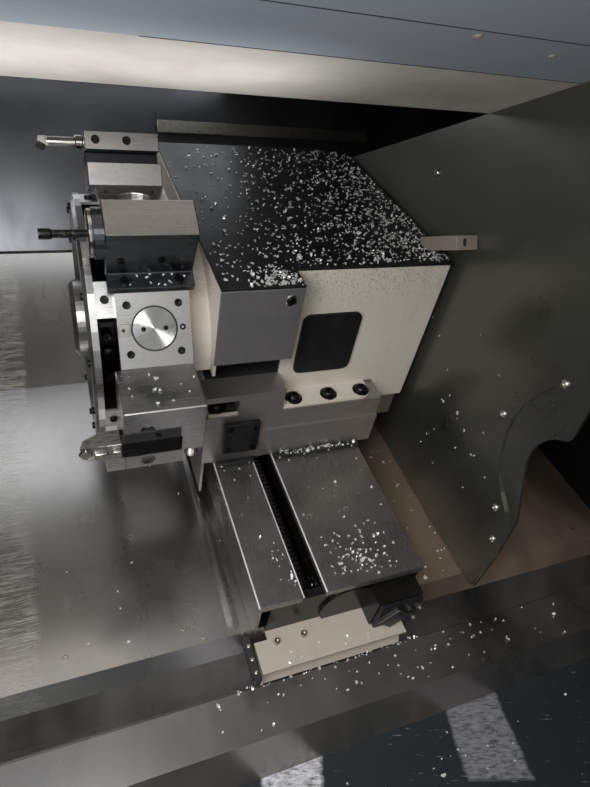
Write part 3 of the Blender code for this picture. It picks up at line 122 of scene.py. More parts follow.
def station_axes(angle):
    turn = np.radians(angle)
    out = -np.cos(turn) * UPHILL + np.sin(turn) * OUT
    across = np.sin(turn) * UPHILL + np.cos(turn) * OUT
    return out, across


def axes_for(normal, along=ALONG):
    """Three unit rows: along made square to the normal, the third direction, and the normal."""
    z = np.asarray(normal, float)
    z = z / np.linalg.norm(z)
    x = along - z * (along @ z)
    if np.linalg.norm(x) < 1e-6:
        x = AWAY - z * (AWAY @ z)
    x = x / np.linalg.norm(x)
    return np.stack([x, np.cross(z, x), z])


SPINDLE = slope(0.0, -0.43, 0.0)

# The finishes by name, filled in by the finishes step
FINISH = {}


# Mesh building


def ring_faces(rings, segments, offset=0):
    """Quads between rings of points laid out row by row, with a many-sided cap on the first and the last."""
    row, col = np.meshgrid(np.arange(rings - 1), np.arange(segments), indexing="ij")
    near, next_col = row * segments, (col + 1) % segments
    quads = np.stack([near + col, near + next_col, near + segments + next_col, near + segments + col], -1)
    faces = (quads.reshape(-1, 4) + offset).tolist()
    faces.append((np.arange(segments)[::-1] + offset).tolist())
    faces.append((np.arange(segments) + (rings - 1) * segments + offset).tolist())
    return faces


def turned_rings(rows, segments):
    """Rings of a turned shape: row k is a circle of radius r_k at height h_k.

    A row with a side count n is the n-sided polygon with corner radius r_k instead: the radius at angle a
    is r cos(pi/n) / cos((a mod 2pi/n) - pi/n).
    """
    radius, height, sides = np.array([(*row, 0)[:3] for row in rows], float).T[:, :, None]
    angle = np.linspace(0.0, 2 * np.pi, segments, endpoint=False)[None, :]
    half = np.pi / np.maximum(sides, 3)
    polygon = radius * np.cos(half) / np.cos(np.mod(angle, 2 * half) - half)
    ring = np.where(sides > 0, polygon, radius + 0 * angle)
    return np.stack([ring * np.cos(angle), ring * np.sin(angle), height + 0 * angle], -1)


def pad_rings(length, width, corner, rows, per_corner=5):
    """Rings of a plate with round corners: row k is the outline drawn in by i_k, at height h_k.

    A point on the outline is the corner's centre plus the corner radius times (cos a, sin a).
    """
    inset, height = np.array(rows, float).T[:, :, None]
    angle = np.concatenate([np.linspace(q, q + 1, per_corner) for q in range(4)]) * np.pi / 2
    right = np.repeat([1, -1, -1, 1], per_corner)
    upper = np.repeat([1, 1, -1, -1], per_corner)
    radius = np.maximum(corner - inset, 0.00005)
    x = right * (length / 2 - np.maximum(corner, inset)) + radius * np.cos(angle)
    y = upper * (width / 2 - np.maximum(corner, inset)) + radius * np.sin(angle)
    return np.stack([x, y, height + 0 * x], -1)


def set_down(rings, origins, axes):
    """Copies of a stack of rings, one at each origin, its own x, y and z laid along that copy's axes."""
    shape = np.asarray(rings)
    points = shape.reshape(-1, 3)
    origins = np.atleast_2d(origins)
    axes = np.broadcast_to(axes, (len(origins), 3, 3))
    placed = origins[:, None, :] + np.einsum("pk,nkj->npj", points, axes)
    faces = []
    for i in range(len(origins)):
        faces += ring_faces(shape.shape[0], shape.shape[1], i * len(points))
    return placed.reshape(-1, 3), faces


def pad(length, width, corner, rows, origins, normal, along=ALONG):
    """Plates with round corners, one at each origin, that face along the normal."""
    return set_down(pad_rings(length, width, corner, rows), origins, axes_for(normal, along))


def tube_rings(path, radius, segments=12):
    """A round tube on a path: each ring is a point plus radius (cos a N + sin a B), N and B square to the path."""
    path = np.asarray(path, float)
    tangent = np.gradient(path, axis=0)
    tangent /= np.linalg.norm(tangent, axis=1)[:, None]
    guide = UP if abs(tangent[:, 2]).max() < 0.9 else AWAY + 0.3 * ALONG
    normal = np.cross(tangent, guide)
    normal /= np.linalg.norm(normal, axis=1)[:, None]
    other = np.cross(tangent, normal)
    angle = np.linspace(0, 2 * np.pi, segments, endpoint=False)[None, :, None]
    radius = np.broadcast_to(radius, len(path))[:, None, None]
    return path[:, None] + radius * (np.cos(angle) * normal[:, None] + np.sin(angle) * other[:, None])


def join_meshes(*parts):
    """Point and face lists of several shapes, put into one."""
    points, faces, base = [], [], 0
    for some_points, some_faces in parts:
        points.append(some_points)
        faces += [[i + base for i in face] for face in some_faces]
        base += len(some_points)
    return np.concatenate(points), faces


def as_mesh(rings):
    """Point and face lists of one stack of rings."""
    return rings.reshape(-1, 3), ring_faces(rings.shape[0], rings.shape[1])


def make_piece(name, mesh, finish, body, sharp=35.0):
    """A named object with its finish, which moves with a body."""
    points, faces = mesh
    data = bpy.data.meshes.new(name)
    data.from_pydata(np.asarray(points).tolist(), [], faces)
    data.materials.append(FINISH[finish])
    data.shade_smooth()
    data.set_sharp_from_angle(angle=np.radians(sharp))
    obj = bpy.data.objects.new(name, data)
    bpy.context.scene.collection.objects.link(obj)
    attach(obj, body)


# Screws. Each profile row is radius, height and any side count, from the underside round to the socket floor


def socket_screw(radius, height):
    socket = radius * 0.58
    return [
        (radius, 0.0), (radius, height * 0.88), (radius * 0.93, height),
        (socket * 1.12, height), (socket, height * 0.97, 6), (socket, height * 0.35, 6),
    ]


def dome_screw(radius, height):
    socket = radius * 0.4
    return [
        (radius, 0.0), (radius * 0.97, height * 0.3), (radius * 0.84, height * 0.64),
        (radius * 0.62, height * 0.9), (radius * 0.45, height),
        (socket, height * 0.96, 6), (socket, height * 0.45, 6),
    ]


def fasten(name, places, profile, finish, body, segments=24):
    """A piece of screws, or of other turned shapes, at (origin, outward normal) places."""
    origins = np.array([origin for origin, _ in places])
    axes = np.array([axes_for(normal) for _, normal in places])
    make_piece(name, set_down(turned_rings(profile, segments), origins, axes), finish, body)


# Finishes


def linear(colour):
    """sRGB hex to linear red, green, blue and alpha."""
    parts = np.array([int(colour[i : i + 2], 16) for i in (1, 3, 5)]) / 255
    value = np.where(parts <= 0.04045, parts / 12.92, ((parts + 0.055) / 1.055) ** 2.4)
    return (*value.tolist(), 1.0)


def add(tree, kind, *feeds, out=0, **more):
    """Adds a node and gives back its output out. kind is its type, and its operation after a space.

    feeds fill its inputs in order. A capital name in more is an input too, and a small one is a property. What
    goes into an input is a value, a hex colour or another node's output.
    """
    kind, _, operation = kind.partition(" ")
    node = tree.nodes.new("ShaderNode" + kind)
    if operation:
        node.operation = operation
    inputs = dict(enumerate(feeds))
    for name, value in more.items():
        if name[0].isupper():
            inputs[name.replace("_", " ")] = value
        else:
            setattr(node, name, value)
    for key, value in inputs.items():
        if isinstance(value, bpy.types.NodeSocket):
            tree.links.new(value, node.inputs[key])
        else:
            node.inputs[key].default_value = linear(value) if isinstance(value, str) else value
    return node.outputs[out]


def start_finish(name, on_slope=False, **values):
    """A new material, its nodes, and coordinates in metres from the turret axis, level or on the slope.

    values go into the inputs of its shader that they are named after.
    """
    material = bpy.data.materials.new(name)
    material.use_nodes = True
    tree = material.node_tree
    for key, value in values.items():
        tree.nodes["Principled BSDF"].inputs[key.replace("_", " ")].default_value = value
    where = add(tree, "TexCoord", out="Object")
    turn = -TILT if on_slope else 0.0
    spin = np.array([[1, 0, 0], [0, np.cos(turn), -np.sin(turn)], [0, np.sin(turn), np.cos(turn)]])
    return material, tree, add(tree, "Mapping", where, (-spin @ CENTRE).tolist(), (turn, 0.0, 0.0))


def pattern(tree, where, size_mm, detail=3.0, rough=0.55):
    """A random pattern, from nought to one, whose features are about size_mm across, one size or three."""
    scaled = add(tree, "Mapping", where, Scale=(1000.0 / np.broadcast_to(size_mm, 3)).tolist())
    return add(tree, "TexNoise", scaled, Scale=1.0, Detail=detail, Roughness=rough)


def films(tree, *layers):
    """The thickest of some films. A layer is a pattern, where it starts and is full, and how thick it is there."""
    depths = [add(tree, "MapRange", layer, start, full, 0.0, most) for layer, start, full, most in layers]
    thickest = depths[0]
    for depth in depths[1:]:
        thickest = add(tree, "Math MAXIMUM", thickest, depth)
    return thickest


def finished(material, **sockets):
    """The material, with outputs linked to the inputs of its shader that they are named after."""
    tree = material.node_tree
    for name, value in sockets.items():
        tree.links.new(value, tree.nodes["Principled BSDF"].inputs[name.replace("_", " ")])
    return material


def powder_coat(name, colour, grime="#6E6557", dirt=0.35, roughness=0.42, grain_mm=2.2, inside=None, gloss=0.5):
    """Polyester powder coat on sheet steel: a faint orange peel, greasy smears and specks of fine swarf.

    inside is a box, low and high, and a second, darker colour painted on the faces that lie in it as painted shade.
    """
    material, tree, where = start_finish(name, Specular_IOR_Level=gloss)
    peel = pattern(tree, where, grain_mm, 2.0)
    smear = pattern(tree, where, (170.0, 120.0, 60.0), 6.0, 0.62)
    speck = pattern(tree, where, 4.0, 3.0, 0.7)
    amount = films(tree, (smear, 0.42, 0.78, dirt), (speck, 0.7, 0.78, dirt))
    coat = add(tree, "MixRGB", amount, colour, grime)
    # Faces in the box take the second colour: painted shade.
    if inside:
        low, high, second = inside
        coat = add(tree, "MixRGB", masked(tree, where, low, high), coat, second)
    return finished(
        material, Base_Color=coat,
        Roughness=add(tree, "MapRange", smear, 0.3, 0.8, roughness - 0.08, roughness + 0.14),
        Normal=add(tree, "Bump", 1.0, 0.06 * MM, Height=peel),
    )


def cast_enamel(name, colour, grime="#7B7060", dirt=0.5):
    """Brushed enamel on iron castings: slow swells from the mould, fine grit and oily runs down the faces."""
    material, tree, where = start_finish(name, on_slope=True)
    swell = pattern(tree, where, 9.0, 4.0, 0.6)
    runs = pattern(tree, where, (26.0, 40.0, 130.0), 5.0, 0.6)
    speck = pattern(tree, where, 3.0, 2.0, 0.6)
    amount = films(tree, (runs, 0.5, 0.85, dirt), (speck, 0.69, 0.76, 0.7))
    return finished(
        material, Base_Color=add(tree, "MixRGB", amount, colour, grime),
        Roughness=add(tree, "MapRange", runs, 0.3, 0.8, 0.34, 0.52),
        Normal=add(tree, "Bump", 1.0, 0.25 * MM, Height=swell),
    )


def ground_steel(
    name, colour, grain_mm, roughness, dirt="#5A5651", amount=0.4, depth_mm=0.01, metal=1.0, black=None,
    oxide_and_shade_colour="#1B1C1D",
):
    """Surface-ground steel: fine parallel grinding lines, faint heat-like blotches and a film of dirty oil.

    black takes the tree and the coordinates and gives how far a face is darkened to the second colour: oxide below
    the low holder's ground top, and painted shade in the drum's gap behind its front ring and in the high holder's
    neck.
    """
    material, tree, where = start_finish(name, on_slope=True)
    lines = pattern(tree, where, grain_mm, 2.0, 0.5)
    cloud = pattern(tree, where, (70.0, 55.0, 45.0), 5.0, 0.6)
    spots = pattern(tree, where, 7.0, 4.0, 0.7)
    film = films(tree, (cloud, 0.45, 0.8, amount), (spots, 0.66, 0.8, amount))
    lined = add(tree, "MixRGB", add(tree, "MapRange", lines, 0.25, 0.75, 0.0, 0.14), colour, "#5A5856")
    face = add(tree, "MixRGB", film, lined, dirt)
    # Darkened faces: oxide on the low holder, painted shade on the drum and on the high holder's neck.
    if black:
        face = add(tree, "MixRGB", black(tree, where), face, oxide_and_shade_colour)
    rough = add(
        tree, "Math ADD", add(tree, "MapRange", lines, 0.2, 0.8, roughness - 0.05, roughness + 0.06),
        add(tree, "MapRange", cloud, 0.4, 0.8, 0.0, 0.1),
    )
    return finished(
        material, Base_Color=face, Roughness=rough,
        Metallic=add(tree, "MapRange", film, 0.0, 1.0, metal, metal * 0.5),
        Normal=add(tree, "Bump", 1.0, depth_mm * MM, Height=lines),
    )


def drum_gap_shade(tree, where):
    """One in the gap between the turret's front ring and its drum, short of the blocks' outer faces, where the drum
    is painted near-black as painted shade.
    """
    u = add(tree, "SeparateXYZ", where)
    flat = add(tree, "VectorMath MULTIPLY", where, (0.0, 1.0, 1.0))
    radius = add(tree, "VectorMath LENGTH", flat, out="Value")
    ends = add(
        tree, "Math MULTIPLY", add(tree, "MapRange", u, -0.0668, -0.0664),
        add(tree, "MapRange", u, -0.0438, -0.0434, 1.0, 0.0),
    )
    return add(tree, "Math MULTIPLY", ends, add(tree, "MapRange", radius, 0.168, 0.1684, 1.0, 0.0))


def under_top_face(tree, where):
    """One below the ground top of the holder on the station at 60 degrees."""
    out = (0.0, -0.5, float(np.sqrt(0.75)))
    rise = add(tree, "VectorMath DOT_PRODUCT", where, out, out="Value")
    return add(tree, "MapRange", rise, BORING_TOP - 0.0016, BORING_TOP - 0.0011, 1.0, 0.0)


def neck_shade(tree, where):
    """One in the neck of the holder on the station at 120 degrees, between its base and its head, where it is
    painted dark as painted shade under the head.
    """
    out = (0.0, 0.5, float(np.sqrt(0.75)))
    rise = add(tree, "VectorMath DOT_PRODUCT", where, out, out="Value")
    above = add(tree, "MapRange", rise, HIGH_BASE - 0.001, HIGH_BASE - 0.0006)
    return add(
        tree, "Math MULTIPLY", above, add(tree, "MapRange", rise, HIGH_NECK + 0.0002, HIGH_NECK + 0.0006, 1.0, 0.0),
    )


def rolled_sheet(name, colour, roughness, on_slope=True, scuff_edge=None, haze=0.5, dirt="#3B352E"):
    """Cold-rolled sheet with coolant film: long soft smears, dried specks and, at a wiped edge, dense scuffs.

    scuff_edge is where along u the scuffed band ends. It is drawn from there towards the chuck.
    """
    material, tree, where = start_finish(name, on_slope)
    rolled = pattern(tree, where, (1.4, 240.0, 240.0), 3.0, 0.55)
    smear = pattern(tree, where, (140.0, 260.0, 260.0), 5.0, 0.6)
    speck = pattern(tree, where, 3.5, 2.0, 0.6)
    film = films(tree, (smear, 0.25, 0.9, haze), (speck, 0.71, 0.77, 0.5))
    base = add(tree, "MixRGB", film, colour, dirt)
    rough = add(tree, "MapRange", smear, 0.3, 0.8, roughness - 0.05, roughness + 0.12)
    if scuff_edge is not None:
        u = add(tree, "SeparateXYZ", where)
        wave = pattern(tree, where, (400.0, 22.0, 22.0), 3.0, 0.6)
        edge = add(tree, "Math ADD", u, add(tree, "MapRange", wave, 0.0, 1.0, -0.01, 0.01))
        band = add(tree, "MapRange", edge, scuff_edge - 0.004, scuff_edge + 0.004, 1.0, 0.0)
        fine = pattern(tree, where, (30.0, 1.1, 1.1), 4.0, 0.75)
        wide = pattern(tree, where, (60.0, 9.0, 9.0), 2.0, 0.5)
        scratch = add(
            tree, "Math MULTIPLY", add(tree, "MapRange", fine, 0.47, 0.62), add(tree, "MapRange", wide, 0.3, 0.62),
        )
        scratch = add(tree, "Math MULTIPLY", scratch, band)
        base = add(tree, "MixRGB", add(tree, "Math MULTIPLY", scratch, 0.9), base, "#E2DED6")
        rough = add(tree, "Math ADD", rough, add(tree, "Math MULTIPLY", scratch, 0.25))
    return finished(
        material, Base_Color=base, Roughness=rough, Metallic=add(tree, "MapRange", film, 0.0, 1.0, 1.0, 0.25),
        Normal=add(tree, "Bump", 1.0, 0.004 * MM, Height=rolled),
    )


def worn_pan(name, colour, sheen_and_wear_strips):
    """Black enamel pan under the work: squared strips painted pale, partly worn enamel and partly a painted
    reflection off wet coolant, dark oil elsewhere.

    The pale strips are given as low corner, high corner and how pale, in coordinates turned by PAN_TURN about Z.
    """
    material, tree, where = start_finish(name)
    turned = add(tree, "Mapping", where, Rotation=(0.0, 0.0, np.radians(PAN_TURN)))
    wander = pattern(tree, where, 22.0, 4.0, 0.7)
    shift = add(tree, "CombineXYZ", add(tree, "MapRange", wander, 0.0, 1.0, -0.006, 0.006))
    moved = add(tree, "VectorMath ADD", turned, shift)
    fleck = pattern(tree, moved, (14.0, 5.0, 8.0), 7.0, 0.8)
    streak = pattern(tree, moved, (26.0, 3.0, 26.0), 4.0, 0.7)
    # Pale streaks and strips: worn enamel with a painted reflection of wet coolant.
    worn = add(tree, "MapRange", streak, 0.665, 0.7, 0.0, 0.35)
    for low, high, bare in sheen_and_wear_strips:
        strip = add(
            tree, "Math MULTIPLY", masked(tree, moved, low, high, 0.003),
            add(tree, "MapRange", fleck, 0.34, 0.56, 0.0, bare),
        )
        worn = add(tree, "Math MAXIMUM", worn, strip)
    return finished(
        material, Base_Color=add(tree, "MixRGB", worn, colour, "#E2E0E6"),
        Roughness=add(tree, "MapRange", fleck, 0.3, 0.7, 0.3, 0.52),
        Normal=add(tree, "Bump", 1.0, 0.15 * MM, Height=fleck),
    )


def black_enamel(name, colour="#161719", roughness=0.36):
    """Black baked enamel on thin sheet: nearly even, with dust, oil mist and a faint orange peel."""
    material, tree, where = start_finish(name, on_slope=True, Specular_IOR_Level=0.25)
    mist = pattern(tree, where, (60.0, 90.0, 90.0), 6.0, 0.65)
    dust = pattern(tree, where, 2.2, 2.0, 0.6)
    amount = films(tree, (mist, 0.45, 0.85, 0.28), (dust, 0.72, 0.77, 0.5))
    return finished(
        material, Base_Color=add(tree, "MixRGB", amount, colour, "#4A4A49"),
        Roughness=add(tree, "MapRange", mist, 0.3, 0.8, roughness - 0.06, roughness + 0.18),
        Normal=add(tree, "Bump", 1.0, 0.03 * MM, Height=dust),
    )


def black_oxide(name):
    """Black-oxide alloy steel screws: near-black, semi-metallic, with brown-grey rub marks on the edges."""
    material, tree, where = start_finish(name, Metallic=0.85)
    rub = pattern(tree, where, 5.0, 3.0, 0.7)
    return finished(
        material, Base_Color=add(tree, "MixRGB", add(tree, "MapRange", rub, 0.55, 0.74), "#1D1D1C", "#66635E"),
        Roughness=add(tree, "MapRange", rub, 0.3, 0.8, 0.28, 0.48),
    )


def turned_face(name, colour, roughness, centre, axis, pitch_mm=0.35, lean=0.1, dirt=0.3):
    """Faced on a lathe: fine rings round the axis, which throw fans of light out from the middle.

    The normal leans out from and in to the axis by lean sin(2 pi r / pitch), r being the distance from the axis.
    """
    material, tree, where = start_finish(name, Metallic=1.0)
    centre = (np.asarray(centre) - CENTRE).tolist()
    from_centre = add(tree, "VectorMath SUBTRACT", where, centre)
    along = add(tree, "VectorMath DOT_PRODUCT", from_centre, axis, out="Value")
    shift = add(tree, "VectorMath SCALE", axis, Scale=along)
    flat = add(tree, "VectorMath SUBTRACT", from_centre, shift)
    radius = add(tree, "VectorMath LENGTH", flat, out="Value")
    outward = add(tree, "VectorMath NORMALIZE", flat)
    wave = add(tree, "Math SINE", add(tree, "Math MULTIPLY", radius, 2000.0 * np.pi / pitch_mm))
    tilt = add(tree, "VectorMath SCALE", outward, Scale=add(tree, "Math MULTIPLY", wave, lean))
    tilt = add(tree, "VectorTransform", tilt, vector_type="VECTOR", convert_from="OBJECT", convert_to="WORLD")
    facing = add(tree, "NewGeometry", out="Normal")
    leaning = add(tree, "VectorMath ADD", facing, tilt)
    normal = add(tree, "VectorMath NORMALIZE", leaning)
    stain = pattern(tree, where, 16.0, 5.0, 0.65)
    amount = add(tree, "MapRange", stain, 0.48, 0.8, 0.0, dirt)
    return finished(
        material, Base_Color=add(tree, "MixRGB", amount, colour, "#4D4A46"), Normal=normal,
        Roughness=add(tree, "MapRange", stain, 0.3, 0.8, roughness - 0.04, roughness + 0.1),
    )


def masked(tree, where, low, high, soft=0.0004):
    """One inside the box from low to high, in metres from the turret axis on the slope, and nought outside."""
    parts = add(tree, "SeparateXYZ", where).node.outputs
    inside = None
    for axis, start, end in zip("XYZ", low, high):
        value = parts[axis]
        up = add(tree, "MapRange", value, start - soft, start + soft)
        down = add(tree, "MapRange", value, end - soft, end + soft, 1.0, 0.0)
        both = add(tree, "Math MINIMUM", up, down)
        inside = both if inside is None else add(tree, "Math MINIMUM", inside, both)
    return inside


def part_machined(name, colour, machined, low, high, metallic, dirt=0.45, coat=0.42, bare=0.24):
    """Enamelled casting whose paint stops at a box: of its machined faces on the saddle, and of a recess painted
    dark as painted shade on the housing.

    Outside the box it is cream enamel with oily runs. Inside it is smooth and dark with a crisp joint line:
    machined metal on the saddle, matt painted shade in the housing's recess.
    """
    material, tree, where = start_finish(name, on_slope=True)
    inside = masked(tree, where, low, high)
    swell = pattern(tree, where, 9.0, 4.0, 0.6)
    runs = pattern(tree, where, (40.0, 60.0, 150.0), 5.0, 0.6)
    speck = pattern(tree, where, 3.0, 2.0, 0.6)
    grime = films(tree, (runs, 0.55, 0.9, dirt), (speck, 0.71, 0.77, 0.6))
    height = add(tree, "SeparateXYZ", where, out="Z")
    fine = pattern(tree, where, (2.0, 2.0, 3.0), 3.0, 0.7)
    near_top = add(tree, "MapRange", height, 0.045, 0.13, 0.0, 0.85)
    grime = add(
        tree, "Math MAXIMUM", grime, add(tree, "Math MULTIPLY", near_top, add(tree, "MapRange", fine, 0.55, 0.64)),
    )
    painted = add(tree, "MixRGB", grime, colour, "#857A69")
    return finished(
        material, Base_Color=add(tree, "MixRGB", inside, painted, machined),
        Metallic=add(tree, "Math MULTIPLY", inside, metallic),
        Roughness=add(tree, "MapRange", inside, 0.0, 1.0, coat, bare),
        Normal=add(tree, "Bump", 1.0, 0.12 * MM, Height=swell),
    )


def oxide_shank(name, bare_left):
    """Black-oxide tool shank, with its head ground back to bare steel to the left of bare_left, along u."""
    material, tree, where = start_finish(name, on_slope=True, Metallic=0.9)
    u = add(tree, "SeparateXYZ", where)
    bare = add(tree, "MapRange", u, bare_left - 0.001, bare_left + 0.001, 1.0, 0.0)
    rub = pattern(tree, where, (14.0, 3.0, 3.0), 3.0, 0.6)
    black = add(tree, "MixRGB", add(tree, "MapRange", rub, 0.6, 0.78, 0.0, 0.5), "#1A1B1B", "#55534F")
    steel = add(tree, "MixRGB", add(tree, "MapRange", rub, 0.45, 0.7), "#A9A7A3", "#5E5B57")
    return finished(
        material, Base_Color=add(tree, "MixRGB", bare, black, steel),
        Roughness=add(tree, "MapRange", rub, 0.3, 0.8, 0.28, 0.45),
    )


def rolled_thread(name, colour, axis, pitch_mm):
    """Ground thread of a screw: round flanks across the axis, each catching its own thin light.

    The height is sin(2 pi d / pitch), d being the distance along the axis.
    """
    material, tree, where = start_finish(name, Metallic=1.0, Roughness=0.26)
    along = add(tree, "VectorMath DOT_PRODUCT", where, axis, out="Value")
    wave = add(tree, "Math SINE", add(tree, "Math MULTIPLY", along, 2000.0 * np.pi / pitch_mm))
    tarnish = pattern(tree, where, 18.0, 4.0, 0.6)
    return finished(
        material,
        Base_Color=add(tree, "MixRGB", add(tree, "MapRange", tarnish, 0.45, 0.8, 0.0, 0.4), colour, "#4A4640"),
        Normal=add(tree, "Bump", 1.0, 2.2 * MM, Height=wave),
    )


def bright_metal(name, colour, roughness, size_mm=(0.8, 12.0, 12.0), metal=1.0):
    """Turned or plated bright metal: close tool lines and a little tarnish."""
    material, tree, where = start_finish(name, Metallic=metal)
    lines = pattern(tree, where, size_mm, 2.0)
    tarnish = pattern(tree, where, 18.0, 4.0, 0.6)
    return finished(
        material,
        Base_Color=add(tree, "MixRGB", add(tree, "MapRange", tarnish, 0.45, 0.8, 0.0, 0.45), colour, "#6A655D"),
        Roughness=add(tree, "MapRange", lines, 0.2, 0.8, roughness - 0.06, roughness + 0.1),
        Normal=add(tree, "Bump", 1.0, 0.01 * MM, Height=lines),
    )


def curled_chips(name, colour):
    """Aluminium chips: torn, crinkled faces that scatter light as well as mirror it, so they read white."""
    material, tree, where = start_finish(name, Metallic=0.45, Roughness=0.34)
    crinkle = pattern(tree, where, 1.2, 2.0)
    return finished(
        material, Base_Color=add(tree, "MixRGB", add(tree, "MapRange", crinkle, 0.5, 0.8), colour, "#B5B4B0"),
        Normal=add(tree, "Bump", 1.0, 0.08 * MM, Height=crinkle),
    )


def moulded(name, colour, roughness, texture_mm=1.2, depth_mm=0.03):
    """Injection-moulded plastic or rubber: a fine spark-eroded grain and slight fading."""
    material, tree, where = start_finish(name)
    grain = pattern(tree, where, texture_mm, 2.0)
    fade = pattern(tree, where, 35.0, 3.0)
    return finished(
        material,
        Base_Color=add(tree, "MixRGB", add(tree, "MapRange", fade, 0.3, 0.9, 0.0, 0.16), colour, "#8A8A88"),
        Roughness=add(tree, "MapRange", grain, 0.2, 0.8, roughness - 0.05, roughness + 0.05),
        Normal=add(tree, "Bump", 1.0, depth_mm * MM, Height=grain),
    )


def laminated_glass(name):
    """Laminated polycarbonate and glass, with a haze of fine coolant spray."""
    material, tree, where = start_finish(name, Transmission_Weight=1.0, IOR=1.5, Base_Color=linear("#E9F1EF"))
    spray = pattern(tree, where, 3.0, 4.0, 0.7)
    return finished(material, Roughness=add(tree, "MapRange", spray, 0.45, 0.75, 0.02, 0.16))


def opal_lamp(name):
    """Opal acrylic diffuser over a lit tube."""
    material, tree, where = start_finish(
        name, Roughness=0.3, Emission_Color=linear("#FFF8EC"), Emission_Strength=0.8,
    )
    frost = pattern(tree, where, 6.0, 2.0)
    return finished(material, Base_Color=add(tree, "MixRGB", frost, "#F2F2EC", "#E2E1D8"))


def lit_display(name):
    """Display glass with a faint grid of generic rows behind it."""
    material, tree, where = start_finish(name, Roughness=0.12)
    turned = add(tree, "Mapping", where, Rotation=(np.radians(-90.0), 0.0, 0.0))
    return finished(
        material,
        Base_Color=add(
            tree, "TexBrick", turned, "#10202A", "#16303C", "#05090C", 1.0, Mortar_Size=0.0022, Brick_Width=0.052,
            Row_Height=0.016,
        ),
    )


